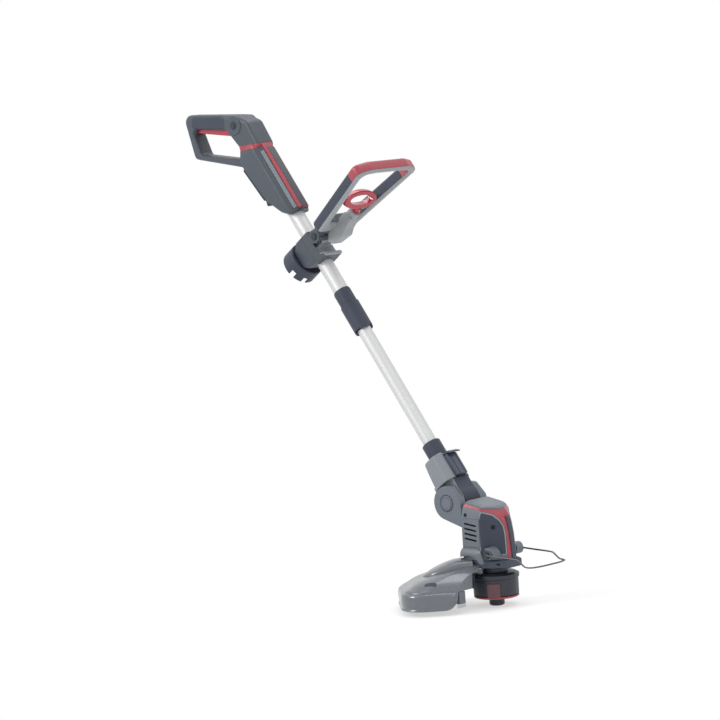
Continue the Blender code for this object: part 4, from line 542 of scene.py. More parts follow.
def smooth_path(points, per_span):
    """Points on a smooth curve through the given ones."""
    path = [Vector(p) for p in points]
    ends = [path[0] * 2 - path[1]] + path + [path[-1] * 2 - path[-2]]
    result = []
    for i in range(1, len(ends) - 2):
        p0, p1, p2, p3 = ends[i - 1:i + 3]
        for k in range(per_span):
            t = k / per_span
            result.append(
                0.5 * (2 * p1 + (p2 - p0) * t + (2 * p0 - 5 * p1 + 4 * p2 - p3) * t ** 2
                       + (3 * p1 - p0 - 3 * p2 + p3) * t ** 3)
            )
    result.append(path[-1])
    return result


def moved(bm, matrix):
    bmesh.ops.transform(bm, matrix=matrix, verts=bm.verts)
    return bm


def mirrored(bm):
    """The same solid on the other side of the y = 0 plane."""
    bmesh.ops.scale(bm, vec=(1, -1, 1), verts=bm.verts)
    bmesh.ops.reverse_faces(bm, faces=bm.faces)
    return bm


def new_object(name, data):
    made = bpy.data.objects.new(name, data)
    bpy.context.scene.collection.objects.link(made)
    return made


def solid_object(name, bm):
    """An object from a solid, which is freed."""
    mesh = bpy.data.meshes.new(name)
    bm.to_mesh(mesh)
    bm.free()
    return new_object(name, mesh)


def combine(base, *steps):
    """Boolean steps on a solid: each is (operation, solid), done in order."""
    for operation, other in steps:
        target = solid_object("target", base)
        helper = solid_object("helper", other)
        modifier = target.modifiers.new(operation, "BOOLEAN")
        modifier.operation = operation
        modifier.object = helper
        modifier.solver = "EXACT"
        graph = bpy.context.evaluated_depsgraph_get()
        mesh = bpy.data.meshes.new_from_object(target.evaluated_get(graph))
        base = bmesh.new()
        base.from_mesh(mesh)
        bpy.data.meshes.remove(mesh)
        for used in (helper, target):
            used_mesh = used.data
            bpy.data.objects.remove(used, do_unlink=True)
            bpy.data.meshes.remove(used_mesh)
        bmesh.ops.remove_doubles(base, verts=base.verts, dist=1e-6)
    return base


CUT = "DIFFERENCE"
JOIN = "UNION"
KEEP = "INTERSECT"


def add_detail(name, bm, place, body, finish, edge=0.0, crease=CREASE):
    """A piece of the scene, drawn in a frame and carried by a body, with its edges rounded by edge."""
    piece = solid_object(name, moved(bm, place))
    piece.data.shade_smooth()
    piece.data.set_sharp_from_angle(angle=crease)
    piece.data.materials.append(finish)
    if edge > 0:
        bevel(piece, edge, DETAIL_CREASE).harden_normals = True
    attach(piece, body)
    return piece


# Head

SIDES = {"right": -1, "left": 1}
SIDE_PANEL = [
    (0.0056, 0.0915, 0.002), (0.0387, 0.0915, 0.002), (0.0368, 0.1244, 0.020), (0.0342, 0.1385, 0.012),
    (0.0294, 0.1485, 0.006), (0.0200, 0.1586, 0.008), (0.0056, 0.1650, 0.002),
]
PANEL_PROUD = 0.0005
PANEL_SUNK = 0.0008
PANEL_ROWS = 46
PANEL_COLUMNS = 18
PANEL_TIP = 0.00005       # the first and last rows lie this far inside the outline
HIGHLIGHT_BEAD_R = 0.0008
SCREWS = [
    # name, place in side view, radius, how far it stands proud
    ("panel_screw_", (0.0220, 0.1387), 0.0032, 0.0006), ("rear_screw_", (-0.0265, 0.1590), 0.0027, 0.0),
]
SCREW_DEPTH = 0.0016
HOUSING_STATIONS = [
    # height, nose x, half width, rear x
    (0.0828, 0.0440, 0.0400, -0.0370), (0.1000, 0.0430, 0.0400, -0.0370),
    (0.1280, 0.0400, 0.0400, -0.0370), (0.1500, 0.0355, 0.0392, -0.0370),
    (0.1600, 0.0315, 0.0375, -0.0365), (0.1660, 0.0275, 0.0355, -0.0355),
    (0.1700, 0.0225, 0.0325, -0.0340),
]
HOUSING_TOP = 0.1700
NOSE_HALF = 0.0075
SHOULDER = 0.0060
TOP_SLOPE = 0.19
SLOPE_START = 0.1300
SLOPE_MIDDLE = 0.0120


def housing_section(z):
    """Half plan section of the motor housing at a height, from the nose to the rear."""
    for low, high in zip(HOUSING_STATIONS, HOUSING_STATIONS[1:]):
        if z <= high[0] or high is HOUSING_STATIONS[-1]:
            share = min(1.0, max(0.0, (z - low[0]) / (high[0] - low[0])))
            nose, half, rear = (a + (b - a) * share for a, b in zip(low[1:], high[1:]))
            break
    corners = [
        (nose, -NOSE_HALF, 0.004), (nose, NOSE_HALF, 0.004), (SHOULDER, half, 0.012), (rear, half, 0.004),
        (rear, -half, 0.004), (SHOULDER, -half, 0.012),
    ]
    return rounded(corners, 8)


def crossings(outline, at):
    """Second coordinates at which a closed outline crosses a first coordinate."""
    found = []
    for (a0, b0), (a1, b1) in zip(outline, outline[1:] + outline[:1]):
        if (a0 - at) * (a1 - at) <= 0 and a0 != a1:
            found.append(b0 + (b1 - b0) * (at - a0) / (a1 - a0))
    return found


def housing_y(x, z):
    """Half width of the motor housing's surface at a place in its side view."""
    level = z
    for _ in range(4):
        lift = min(1.0, max(0.0, (level - SLOPE_START) / (HOUSING_TOP - SLOPE_START)))
        level = z - TOP_SLOPE * (SLOPE_MIDDLE - x) * lift
    return max([0.0] + crossings(housing_section(level), x))


def housing_point(side, x, z):
    """The place on the housing's side and the direction out of it."""
    step = 0.0008
    along = Vector((2 * step, housing_y(x + step, z) - housing_y(x - step, z), 0))
    up = Vector((0, housing_y(x, z + step) - housing_y(x, z - step), 2 * step))
    normal = up.cross(along).normalized()
    point = Vector((x, housing_y(x, z), z))
    if side < 0:
        point.y, normal.y = -point.y, -normal.y
    return point, normal


def facing(point, normal):
    """A frame at a point of a surface with Z pointing out of it."""
    return Matrix.Translation(point) @ normal.to_track_quat("Z", "Y").to_matrix().to_4x4()


def side_frame(x, out, z, side):
    """The same on a level side face, out from the middle plane."""
    return facing(Vector((x, side * out, z)), Vector((0, side, 0)))


def wrapped_plate(outline, side):
    """A thin plate of a given outline in side view that follows the housing's surface."""
    upright = [(z, x) for x, z in outline]
    low, high = min(upright)[0], max(upright)[0]
    rings = []
    for i in range(PANEL_ROWS + 1):
        share = 0.5 - 0.5 * cos(pi * i / PANEL_ROWS)
        z = low + PANEL_TIP + (high - low - 2 * PANEL_TIP) * share
        found = crossings(upright, z)
        x0, x1 = min(found), max(found)
        outer = []
        inner = []
        for j in range(PANEL_COLUMNS + 1):
            x = x0 + (x1 - x0) * j / PANEL_COLUMNS
            y = housing_y(x, z)
            outer.append((x, side * (y + PANEL_PROUD), z))
            inner.append((x, side * (y - PANEL_SUNK), z))
        rings.append(outer + inner[::-1])
    return loft(rings)


def screw_well(radius):
    """A screw hole: a thin collar round a dark floor just over the surface; the floor's near black is
    painted shade of the hole.
    """
    return lathe([
        (0.0, -SCREW_DEPTH), (radius * 1.15, -SCREW_DEPTH), (radius * 1.15, 0.0005), (radius, 0.0009),
        (radius * 0.82, 0.0007), (radius * 0.74, 0.0003), (0.0, 0.0003),
    ], 32)


def add_side_panels():
    """Dark side panels with light rims that paint the highlight along their edges, and the screw holes of
    the housing, whose dark floors are painted shade.
    """
    outline = rounded(SIDE_PANEL, 5)
    for name, side in SIDES.items():
        add_detail("side_panel_" + name, wrapped_plate(outline, side), WORLD, "head", navy)
        # a light grey bead round each panel: painted highlight of the panel's edge
        rim = [Vector((x, side * (housing_y(x, z) + 0.0003), z)) for x, z in offset(outline, 0.0002)]
        add_detail("side_panel_highlight_rim_" + name, bead_round(rim, HIGHLIGHT_BEAD_R, 8), WORLD, "head", light)
        for screw, at, radius, proud in SCREWS:
            point, normal = housing_point(side, *at)
            place = facing(point + normal * proud, normal)
            add_detail(screw + name, screw_well(radius), place, "head", painted_hole_shade)


WIRE_PIVOT = (0.0210, 0.0935)
BOSS_OUT = 0.0428
KNOB_TEETH = 20
KNOB_TOOTH = [(-0.16, 0.0072), (-0.08, 0.0078), (0.08, 0.0078), (0.16, 0.0072)]     # step, radius
FENDER_INNER = 0.0092
FENDER_OUTER = 0.0118
FENDER_DEPTH = 0.018
FENDER_STEPS = 24
FENDER_START = 118        # degrees up from straight ahead
FENDER_SWEEP = 150


def knob_outline():
    """Outline of the ribbed knob, with flat-topped teeth."""
    outline = []
    for i in range(KNOB_TEETH):
        a = 2 * pi * i / KNOB_TEETH
        for step, radius in KNOB_TOOTH:
            b = a + step * 2 * pi / KNOB_TEETH * 1.6
            outline.append((radius * cos(b), radius * sin(b)))
    return outline


def fender_solid(side):
    """Arched hood over the knob that sinks towards the foot."""
    wx, wz = WIRE_PIVOT
    arch = []
    for i in range(FENDER_STEPS + 1):
        a = radians(FENDER_START - FENDER_SWEEP * i / FENDER_STEPS)
        out = BOSS_OUT - 0.0006 - 0.0040 * (i / FENDER_STEPS) ** 1.5
        x0, z0 = FENDER_INNER * cos(a), FENDER_INNER * sin(a)
        x1, z1 = FENDER_OUTER * cos(a), FENDER_OUTER * sin(a)
        arch.append([
            (wx + x0, side * (out - FENDER_DEPTH), wz + z0), (wx + x0, side * out, wz + z0),
            (wx + (x0 + x1) / 2, side * (out + 0.0006), wz + (z0 + z1) / 2),
            (wx + x1, side * (out - 0.0008), wz + z1),
            (wx + x1 * 1.08, side * (out - FENDER_DEPTH), wz + z1 * 1.08),
        ])
    return loft(arch)


def add_wire_bosses():
    """Ribbed knob on the pivot of the wire and the fender that covers it."""
    outline = knob_outline()
    for name, side in SIDES.items():
        place = side_frame(WIRE_PIVOT[0], BOSS_OUT, WIRE_PIVOT[1], side)
        add_detail("wire_knob_" + name, prism(outline, -0.0030, 0.0016, "Z"), place, "head", black, 0.0003)
        dish = lathe([
            (0.0, 0.0010), (0.0040, 0.0010), (0.0048, 0.0017), (0.0052, 0.0023), (0.0044, 0.0023),
            (0.0036, 0.0018), (0.0, 0.0018),
        ], 28)
        add_detail("wire_knob_dish_" + name, dish, place, "head", navy)
        add_detail("wire_fender_" + name, fender_solid(side), WORLD, "head", pale_slate, 0.0002)


EAR_FACE = 0.0360
BUTTON_FACE = 0.0375
BOLT_RING_R = 0.0092
BUTTON_RING_R = 0.0108
NOTCH_LONG = 0.0034       # half sizes of the notch in the foot
NOTCH_HIGH = 0.0021
FOOT_SIDE = (Vector((0.0060, 0.0400, 0.0755)), Vector((0.0480, 0.0170, 0.0755)))
NOTCH_SHARE = 0.60        # its place along the slanted side


def add_head_trim():
    """Rings on the tilt discs, dark rings just proud of the ears that paint the shade of a groove, and a
    dark notch in the foot whose black is painted shade.
    """
    for name, side in SIDES.items():
        face, r, body = EAR_FACE, BOLT_RING_R, "head"
        if side < 0:
            face, r, body = BUTTON_FACE, BUTTON_RING_R, "tilt_button"
        ring = lathe([(r, -0.0004), (r + 0.0009, -0.0004), (r + 0.0007, 0.0003), (r + 0.0002, 0.0003)], 48)
        add_detail("disc_ring_" + name, ring, side_frame(TILT_X, face, TILT_Z, side), body, dark_slate)
        # a navy ring 0.2 mm proud of the ear that stands for a groove's shade: painted shade
        groove = lathe([(0.0139, -0.0006), (0.0152, -0.0006), (0.0151, 0.0002), (0.0140, 0.0002)], 64)
        place = side_frame(TILT_X, EAR_FACE, TILT_Z, side)
        add_detail("disc_groove_shade_" + name, groove, place, "head", navy)
        # the notch is a dark oval just proud of the foot, its near black painted shade
        oval = prism(ellipse(NOTCH_LONG, NOTCH_HIGH, 28), -0.0010, 0.0003, "Z")
        add_detail("foot_notch_" + name, oval, facing(*foot_point(side)), "head", painted_hole_shade, 0.0002)


def foot_point(side):
    """Middle of the slanted side of the base flange, and the direction out of it."""
    start, end = FOOT_SIDE
    point = start.lerp(end, NOTCH_SHARE)
    normal = Vector((end.y - start.y, start.x - end.x, 0)).normalized() * -1
    if side < 0:
        point.y, normal.y = -point.y, -normal.y
    return point, normal


add_side_panels()
add_wire_bosses()
add_head_trim()


# Guard

GUARD_TURN = radians(47.0)
GUARD_REACH = 0.1665
GUARD_HALF_WIDTH = 0.0755
GUARD_CORNER = 0.0480
GUARD_SIDE_START = 0.0780
GUARD_BOTTOM = 0.0090
GUARD_RIM_TOP = 0.0325
GUARD_WALL = 0.0022
GUARD_INNER_R = 0.0300
END_ROUND = 0.0165
END_WALL = 0.0385
GUARD_SEAT = 0.0648
GUARD_CREASE = radians(38)
WELL_EDGE = 0.0600
END_FACE = 0.0021         # the end walls are this thick along the rim
END_TURN = 0.0070         # how far back the skirt starts to curl in at its ends
END_CURL = 0.0050
RIM_STEPS = 34
FOOT_CLEARANCE = 0.0003
FOOT_SEAT = 0.0682        # the room for the base flange starts here
GUARD_FRAME = Matrix.Rotation(pi + GUARD_TURN, 4, "Z")
DOME = [
    # share of the way from the spindle to the rim, height
    (0.18, 0.0790), (0.36, 0.0735), (0.50, 0.0683), (0.60, 0.0645), (0.70, 0.0595),
    (0.775, 0.0556), (0.85, 0.0500), (0.90, 0.0447),
]
DOME_CURVE = [(p.x, p.y) for p in smooth_path(DOME, 5)]


def dome_height(share):
    for (s0, z0), (s1, z1) in zip(DOME_CURVE, DOME_CURVE[1:]):
        if share <= s1:
            return z0 + (z1 - z0) * (share - s0) / (s1 - s0)
    return DOME_CURVE[-1][1]


def guard_profile(reach, bottom, floor, curl):
    """Radial section as (r, z): dome, shoulder, groove, bulged skirt and its bottom lip."""
    skirt = reach - curl
    top = [(GUARD_INNER_R, dome_height(GUARD_INNER_R / reach))]
    top += [(s * reach, z) for s, z in DOME_CURVE if s * reach > GUARD_INNER_R + 0.002]
    height = GUARD_RIM_TOP
    top += [
        (reach * 0.925, height + 0.0100), (reach - 0.0086, height + 0.0082),
        (reach - 0.0074, height + 0.0066), (reach - 0.0072, height + 0.0056),
        (reach - 0.0060, height + 0.0054), (skirt - 0.0034, height + 0.0044),
        (skirt - 0.0016, height + 0.0026), (skirt - 0.0006, height), (skirt - 0.0001, height - 0.0045),
        (skirt, height - 0.0090), (skirt - 0.0006, max(height - 0.0150, bottom + 0.0050)),
        (skirt - 0.0012, bottom + 0.0036), (skirt - 0.0004, bottom + 0.0026),
        (skirt + 0.0003, bottom + 0.0014), (skirt, bottom),
    ]
    wall = skirt - GUARD_WALL - 0.0008
    under = [(wall, bottom), (wall, height - 0.0008)]
    under += [(skirt - 0.0050, height + 0.0020), (reach - 0.0095, height + 0.0048)]
    shares = [s for s, _ in DOME_CURVE if 0.60 <= s <= 0.90]
    under += [(s * reach, dome_height(s) - GUARD_WALL) for s in reversed(shares)]
    under.append((WELL_EDGE + 0.0015, dome_height((WELL_EDGE + 0.0015) / reach) - GUARD_WALL))
    under = [(r, min(z, floor)) for r, z in under]
    return top + under + [(WELL_EDGE, GUARD_SEAT), (GUARD_INNER_R, GUARD_SEAT)]


def rim_places():
    """Points along the rim in the guard's own frame, with their distance from the nearer end."""
    corners = [
        (GUARD_SIDE_START, GUARD_HALF_WIDTH, 0), (GUARD_REACH, GUARD_HALF_WIDTH, GUARD_CORNER),
        (GUARD_REACH, -GUARD_HALF_WIDTH, GUARD_CORNER), (GUARD_SIDE_START, -GUARD_HALF_WIDTH, 0),
    ]
    line = [Vector(p) for p in rounded(corners, 48)]
    lengths = [0.0]
    for a, b in zip(line, line[1:]):
        lengths.append(lengths[-1] + (b - a).length)
    total = lengths[-1]
    half = [0.0, 0.0004, 0.0010, 0.0018, 0.0020, 0.0023, 0.0034, 0.0050, 0.0070, 0.0090, 0.0115, 0.0140]
    half.append(END_ROUND)
    half += [END_ROUND + (total / 2 - END_ROUND) * i / RIM_STEPS for i in range(1, RIM_STEPS + 1)]
    places = []
    for distance in half + [total - d for d in reversed(half[:-1])]:
        i = max(k for k in range(len(line) - 1) if lengths[k] <= distance + 1e-9)
        share = (distance - lengths[i]) / (lengths[i + 1] - lengths[i])
        places.append((line[i].lerp(line[i + 1], share), min(distance, total - distance)))
    return places


LEAF_SUNK = 0.0030        # how deep its foot lies in the dome
LEAF_STEPS = 16
LEAF_POWER = 0.55         # below 1 for a flat top with round sides


def leaf_solid():
    """Raised leaf of the guard that runs out from under the housing to a point."""
    stations = smooth_path([
        # along the middle line, half width, top
        (0.0400, 0.0270, 0.0850), (0.0640, 0.0258, 0.0843), (0.0780, 0.0268, 0.0812),
        (0.0945, 0.0272, 0.0752), (0.1100, 0.0215, 0.0682), (0.1200, 0.0110, 0.0622),
        (0.1240, 0.0030, 0.0588),
    ], 6)
    rings = []
    for p, half, top in stations:
        base = dome_height(p / GUARD_REACH) - LEAF_SUNK
        ring = []
        for k in range(LEAF_STEPS + 1):
            a = pi * k / LEAF_STEPS
            ring.append((p, half * cos(a), base + (top - base) * sin(a) ** LEAF_POWER))
        rings.append(ring)
    return loft(rings)


def flange_outline(grow):
    corners = [
        (-0.0370, -0.0400, 0.004), (0.0060, -0.0400, 0.012), (0.0480, -0.0170, 0.008),
        (0.0480, 0.0170, 0.008), (0.0060, 0.0400, 0.012), (-0.0370, 0.0400, 0.004),
    ]
    return offset(rounded(corners, 6), grow)


MARK_AT = (0.1163, 0.0585)     # sunken mark of the dome, in the guard's frame
MARK_LONG = 0.0215
MARK_WIDE = 0.0088
MARK_DEPTH = 0.0012
MARK_ALONG = Vector((-0.915, 0.404, 0.0))


def slot_outline(grow):
    """Outline of the mark with round ends, grown or shrunk a little."""
    a, b = MARK_LONG / 2 + grow, MARK_WIDE / 2 + grow
    return rounded([(-a, -b, b * 0.7), (a, -b, b * 0.7), (a, b, b * 0.7), (-a, b, b * 0.7)], 8)


def mark_place(body):
    """Frame on the dome's surface, X along the mark and Z out of the surface."""
    above = GUARD_FRAME @ Vector((MARK_AT[0], MARK_AT[1], 0.12))
    hit, normal, _, _ = BVHTree.FromBMesh(body).ray_cast(above, Vector((0, 0, -1)))
    along = GUARD_FRAME.to_3x3() @ MARK_ALONG
    along = (along - normal * along.dot(normal)).normalized()
    across = normal.cross(along)
    turn = Matrix((along, across, normal)).transposed().to_4x4()
    return Matrix.Translation(hit) @ turn


def round_in(distance, reach, amount):
    """How far a rounded end has turned away at a distance from it."""
    if distance >= reach:
        return 0.0
    t = 1 - distance / reach
    return amount * (1 - sqrt(max(0.0, 1 - t * t)))


def add_guard():
    """The guard: dome, skirt, end walls and the raised leaf as one shell, with its sunken mark and a dark
    plate of painted shade at the mark's bottom.
    """
    rings = []
    for place, from_end in rim_places():
        rise = round_in(from_end, END_ROUND, END_ROUND)
        curl = round_in(from_end, END_TURN, END_CURL)
        floor = END_WALL if from_end < END_FACE else 1.0
        reach = place.length
        along = place.normalized()
        profile = guard_profile(reach, GUARD_BOTTOM + rise, floor, curl)
        rings.append([(r * along.x, r * along.y, z) for r, z in profile])
    body = moved(combine(loft(rings), (JOIN, leaf_solid())), GUARD_FRAME)
    body = combine(body, (CUT, prism(flange_outline(FOOT_CLEARANCE), FOOT_SEAT, 0.2, "Z")))
    place = mark_place(body)
    body = combine(body, (CUT, moved(prism(slot_outline(0.0), -MARK_DEPTH, 0.006, "Z"), place)))
    # a navy plate on the pocket's floor that darkens it: painted shade
    mark_shade_plate = prism(slot_outline(-0.0002), -MARK_DEPTH, -MARK_DEPTH + 0.0003, "Z")
    add_detail("guard_mark_shade", mark_shade_plate, place, "head", navy)
    made = add_detail("guard_moulding", body, WORLD, "head", guard_paint, crease=GUARD_CREASE)
    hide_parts("guard")


add_guard()


# Rear housing

RED_FLANK = [(0.0241, 0.0072), (0.0274, 0.0072), (0.0268, 0.0080), (0.0246, 0.0127), (0.0241, 0.0127)]
# outline of the painted highlight strip beside each red flank
CHAMFER_HIGHLIGHT_STRIP = [(0.0211, 0.0131), (0.0218, 0.0135), (0.0174, 0.0191), (0.0168, 0.0186)]
TRIM_LOW = 0.6085
TRIM_HIGH = 0.7400


def add_rear_trim():
    """Narrow slate spine between red flanks, and beside them pale strips that paint the highlight on the
    housing's chamfer.
    """
    spine = rounded([
        (0.0243, -0.0069, 0.0), (0.0280, -0.0069, 0.0008), (0.0290, -0.0060, 0.0008),
        (0.0290, 0.0064, 0.0006), (0.0284, 0.0069, 0.0004), (0.0243, 0.0069, 0.0),
    ], 4)
    solid_spine = prism(spine, TRIM_LOW, TRIM_HIGH, "Z", 0.0008)
    cover = add_detail("spine_moulding", solid_spine, SHAFT, "rear_unit", slate)
    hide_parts("spine_cover")
    for name, side in SIDES.items():
        flank = prism(RED_FLANK, TRIM_LOW + 0.0005, TRIM_HIGH, "Z")
        highlight_strip = prism(CHAMFER_HIGHLIGHT_STRIP, TRIM_LOW + 0.0030, TRIM_HIGH - 0.0020, "Z")
        if side < 0:
            flank, highlight_strip = mirrored(flank), mirrored(highlight_strip)
        add_detail("red_flank_" + name, flank, SHAFT, "rear_unit", red, 0.0002)
        add_detail("painted_highlight_strip_" + name, highlight_strip, SHAFT, "rear_unit", chamfer_highlight, 0.0002)


add_rear_trim()


# Swivel section

NECK_R = 0.0290
NECK_PLATE = 0.0020       # thickness
NECK_PLATE_HALF = 0.0184
TONGUE_MIDDLE = -0.0070


def add_neck_plate():
    """Dark plate over the front of the tongue between the two ears."""
    outline = arc(TONGUE_MIDDLE, 0.0, NECK_R, -75, 20, 26) + [(0.0208, 0.0325), (0.0190, 0.0325)]
    outline += arc(TONGUE_MIDDLE, 0.0, NECK_R - NECK_PLATE, 20, -75, 26)
    plate = prism(outline, -NECK_PLATE_HALF, NECK_PLATE_HALF, "Y")
    add_detail("neck_plate", plate, SHAFT, "swivel", navy, 0.0003)


add_neck_plate()


# Front handle

LOOP_MID = 0.0010
LOOP_HALF_THICK = 0.0115
LOOP_END = 0.2075
SEAM_Z = LOOP_MID - LOOP_HALF_THICK + 0.0035
CAP_START = 0.1740
GRIP_START = 0.0240
BASE_END = 0.0620
BASE_HALF_START = 0.0290
BASE_HALF_END = 0.0385
CHEEK_INNER = 0.0157
CHEEK_OUTER = 0.0255
CHEEK_R = 0.0121
PIVOT_BOLT_R = 0.0030
STUB_R = 0.0105
STUB_Z = -0.0131
STUB_END = 0.0904
SHANK_R = 0.0060
STEM_HALF = 0.0120
HOLLOW_R = 0.0180         # between the cheeks, for the clamp's lug
BOLT_SEAT_R = 0.0072
BOLT_SEAT = 0.0006        # depth
INNER_ROUND = 0.0042      # rounding of the loop's inside
OUTER_ROUND = 0.0055
ROUND_STEPS = 6
GAP = 0.0003


def both_sides(near):
    """Corners of a symmetric outline from those of its near half."""
    return near + [(x, -y, r) for x, y, r in reversed(near)]


def handle_loop():
    """The whole loop of the handle with well rounded edges, before it is parted."""
    outline = rounded(both_sides([
        (-0.0020, -0.0250, 0.006), (0.0120, -0.0262, 0.006), (0.0280, -0.0425, 0.012),
        (LOOP_END - 0.0090, -0.0752, 0.012), (LOOP_END, -0.0460, 0.020),
    ]), 10)
    low, high = LOOP_MID - LOOP_HALF_THICK, LOOP_MID + LOOP_HALF_THICK
    outer = prism(outline, low, high, "Z", OUTER_ROUND, ROUND_STEPS)
    opening = rounded(both_sides([
        (0.0520, -0.0310, 0.010), (LOOP_END - 0.0140, -0.0605, 0.010), (LOOP_END - 0.0110, -0.0350, 0.020),
    ]), 10)
    levels = [(low - 0.02, INNER_ROUND), (low, INNER_ROUND)]
    for i in range(1, ROUND_STEPS + 1):
        turned = sin(pi / 2 * i / ROUND_STEPS)
        grow = INNER_ROUND * (1 - turned) if i < ROUND_STEPS else 0.0
        levels.append((low + INNER_ROUND * turned, grow))
    levels += [(2 * LOOP_MID - w, grow) for w, grow in reversed(levels)]
    hole = loft([[(u, v, w) for u, v in offset(opening, grow)] for w, grow in levels])
    return combine(outer, (CUT, hole))


def cross_rod(radius, low, high):
    """A round bar along Y through the handle's pivot."""
    return prism(ellipse(radius, radius, 48), low, high, "Y")


def long_rod(radius, low, high):
    """A round bar along X through the middle of the pull ring's shank."""
    return prism(ellipse(radius, radius, 40, STUB_Z), low, high, "X")


def base_zone(grow):
    """The part of the handle's upper half that belongs to its base."""
    outline = [
        (-0.1, -0.1), (GRIP_START, -0.1), (GRIP_START, -BASE_HALF_START), (BASE_END, -BASE_HALF_END),
        (BASE_END, BASE_HALF_END), (GRIP_START, BASE_HALF_START), (GRIP_START, 0.1), (-0.1, 0.1),
    ]
    return prism(offset(outline, grow), -0.1, 0.1, "Z")


def add_front_handle():
    """The handle as five pieces cut from one loop: underside, cap, two soft grips and base."""
    whole = handle_loop()
    stem = rounded([
        (0.0100, -0.0200, 0.003), (0.0157, -0.0297, 0.005), (0.0472, -0.0345, 0.008),
        (0.0590, -0.0280, 0.006), (STUB_END - 0.0105, -0.0236, 0.004), (STUB_END - 0.0105, -0.0042, 0.004),
        (0.0590, -0.0042, 0.002), (0.0560, SEAM_Z - 0.0003, 0.002), (0.0220, SEAM_Z - 0.0003, 0.003),
    ], 8)
    lower = combine(
        whole.copy(), (KEEP, box(0.0300, 0.3, -0.1, 0.1, -0.1, SEAM_Z)),
        (JOIN, prism(stem, -STEM_HALF, STEM_HALF, "Y", 0.0018)),
        (JOIN, long_rod(STUB_R, STUB_END - 0.0210, STUB_END)),
        (CUT, long_rod(SHANK_R + GAP, STUB_END - 0.0170, 0.2)),
        (CUT, cross_rod(HOLLOW_R, -CHEEK_INNER, CHEEK_INNER)),
        (CUT, cross_rod(CHEEK_R + 0.0008, -0.05, 0.05)),
    )
    made = add_detail("handle_underside", lower, HANDLE, "front_handle", light, 0.0003)
    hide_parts("front_handle_lower_shell")
    upper = combine(whole, (KEEP, box(-0.1, 0.3, -0.1, 0.1, SEAM_Z + GAP, 0.1)))
    cap = combine(upper.copy(), (KEEP, box(CAP_START, 0.3, -0.1, 0.1, -0.1, 0.1)))
    made = add_detail("handle_cap", cap, HANDLE, "front_handle", red, 0.0004)
    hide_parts("front_handle_cap")
    for name, low, high in (("right", -0.1, 0.0), ("left", 0.0, 0.1)):
        grip = combine(
            upper.copy(), (KEEP, box(GRIP_START, CAP_START - GAP, low, high, -0.1, 0.1)),
            (CUT, base_zone(0.0)),
        )
        made = add_detail("soft_grip_" + name, grip, HANDLE, "front_handle", navy, 0.0004)
        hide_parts("front_grip_" + name)
    base = combine(
        upper, (KEEP, base_zone(-GAP)), (JOIN, cross_rod(CHEEK_R, -CHEEK_OUTER, CHEEK_OUTER)),
        (CUT, cross_rod(HOLLOW_R, -CHEEK_INNER, CHEEK_INNER)),
        (CUT, cross_rod(PIVOT_BOLT_R + GAP, -0.05, 0.05)),
        (CUT, cross_rod(BOLT_SEAT_R, -0.08, -CHEEK_OUTER + BOLT_SEAT)),
        (CUT, cross_rod(BOLT_SEAT_R, CHEEK_OUTER - BOLT_SEAT, 0.08)),
    )
    made = add_detail("handle_base", base, HANDLE, "front_handle", slate, 0.0004)
    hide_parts("front_handle_base")


add_front_handle()


# Rear grip and springs

TRIGGER_SLOT_HALF = 0.0076
SLOT_LINER = [(0.0003, -0.0088), (0.0037, -0.0088), (0.0086, -0.0197), (0.0003, -0.0197)]
GRIP_CORNER = (-0.1000, 0.8765)
BOSS_FACE = 0.0232


def grip_point(u, v):
    """Shaft-frame point from forward u and up v, both level in the world, at the grip's corner."""
    c, s = cos(SHAFT_LEAN), sin(SHAFT_LEAN)
    return (GRIP_CORNER[0] + u * c + v * s, GRIP_CORNER[1] - u * s + v * c)


def add_slot_liner():
    """Closes the trigger's slot where it would cut into the rear bar, below the trigger's end."""
    outline = [grip_point(u, v) for u, v in SLOT_LINER]
    liner = prism(outline, -TRIGGER_SLOT_HALF, TRIGGER_SLOT_HALF, "Y")
    add_detail("slot_liner", liner, SHAFT, "rear_unit", slate)


def add_boss_dishes():
    """Dark sunken dishes round the two ends of the lock-off button."""
    corners = NODES["lock_off_button"].data.vertices
    middle = SHAFT.inverted() @ (sum((v.co for v in corners), Vector()) / len(corners))
    for name, side in SIDES.items():
        place = SHAFT @ side_frame(middle.x, BOSS_FACE, middle.z, side)
        dish = lathe([
            (0.0067, -0.0004), (0.0098, -0.0004), (0.0094, 0.0003), (0.0080, 0.00015), (0.0070, 0.0003),
        ], 56)
        add_detail("boss_dish_" + name, dish, place, "rear_unit", dark_slate)


add_slot_liner()
add_boss_dishes()


def squeeze_springs():
    """Gives the trigger's and the bump knob's springs mesh data of their own."""
    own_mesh(NODES["trigger_spring"])
    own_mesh(NODES["bump_spring"])


squeeze_springs()


# Stage

def seen_as_white(tree):
    """1 for rays from the camera and for rays off gloss or through glass, else 0."""
    ray = put(tree, "LightPath").outputs
    seen = maths(tree, "MAXIMUM", ray["Is Camera Ray"], ray["Is Glossy Ray"])
    return maths(tree, "MAXIMUM", seen, ray["Is Transmission Ray"])


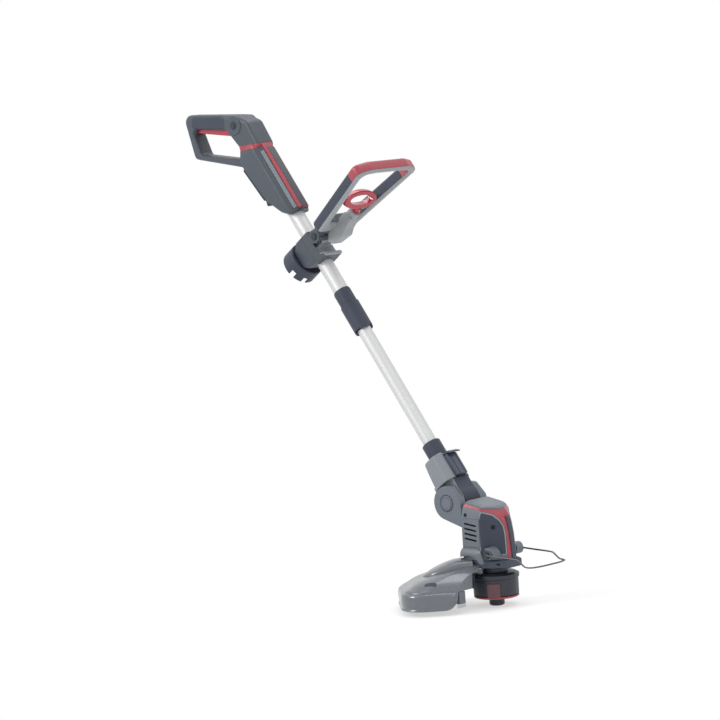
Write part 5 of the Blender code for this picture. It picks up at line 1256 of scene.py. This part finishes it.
def build_floor():
    """White paper floor; its share of plain white rises to all of it away from the trimmer."""
    bpy.ops.mesh.primitive_circle_add(vertices=96, radius=30.0, fill_type="NGON")
    floor = bpy.context.active_object
    floor.name = "floor"
    made, tree = empty_material("floor_paper")
    diffuse = put(tree, "BsdfDiffuse", {"Color": solid(PAPER_WHITE)})
    white = put(tree, "Emission", {"Color": (1, 1, 1, 1), "Strength": 1.0})
    place = put(tree, "TexCoord").outputs["Object"]
    away = put(tree, "VectorMath", {0: place}, operation="LENGTH")
    fade = remap(tree, away.outputs["Value"], (0.20, 0.60), (0.55, 1.0), interpolation_type="SMOOTHSTEP")
    share = maths(tree, "MULTIPLY", seen_as_white(tree), fade)
    mixed = put(tree, "MixShader", {0: share, 1: diffuse.outputs[0], 2: white.outputs[0]})
    put(tree, "OutputMaterial", {"Surface": mixed.outputs[0]})
    floor.data.materials.append(made)


def build_world():
    """A room that is lighter upwards, and white where it is seen."""
    world = bpy.data.worlds.new("studio")
    bpy.context.scene.world = world
    world.use_nodes = True
    tree = world.node_tree
    tree.nodes.clear()
    skyward = put(tree, "SeparateXYZ", {0: put(tree, "TexCoord").outputs["Generated"]})
    room = remap(tree, skyward.outputs["Z"], (-0.05, 0.75), (0.26, 0.90), interpolation_type="SMOOTHSTEP")
    level = put(tree, "Mix", {"Factor": seen_as_white(tree), "A": room, "B": 1.0}, data_type="FLOAT")
    back = put(tree, "Background", {"Color": (1, 1, 1, 1), "Strength": level.outputs[0]})
    put(tree, "OutputWorld", {"Surface": back.outputs[0]})


def soft_light(name, at, towards, size, power):
    lamp = bpy.data.lights.new(name, "AREA")
    lamp.shape = "RECTANGLE"
    lamp.size, lamp.size_y = size
    lamp.energy = power
    made = new_object(name, lamp)
    made.location = at
    made.rotation_mode = "QUATERNION"
    made.rotation_quaternion = (Vector(towards) - Vector(at)).to_track_quat("-Z", "Y")


def build_camera():
    data = bpy.data.cameras.new("photo_camera")
    data.sensor_width = SENSOR
    data.lens = LENS
    data.clip_start = 0.1
    data.clip_end = 100.0
    made = new_object("photo_camera", data)
    right = CAMERA_RIGHT.normalized()
    up = CAMERA_UP.normalized()
    back = right.cross(up).normalized()
    turn = Matrix((right, up, back)).transposed().to_4x4()
    made.matrix_world = Matrix.Translation(CAMERA_AT) @ turn
    bpy.context.scene.camera = made


# name, place, aim, size, power
LIGHTS = [
    ("key", (-1.9, -3.0, 2.5), (-0.2, 0.0, 0.4), (1.2, 1.6), 75.0),
    ("fill", (3.0, -0.6, 1.6), (-0.1, 0.0, 0.4), (1.2, 1.8), 16.0),
    ("top", (-0.3, 0.6, 2.8), (-0.2, 0.0, 0.4), (1.8, 1.8), 24.0),
]

build_floor()
build_world()
for light_values in LIGHTS:
    soft_light(*light_values)
build_camera()
bpy.context.scene.view_settings.view_transform = "Standard"
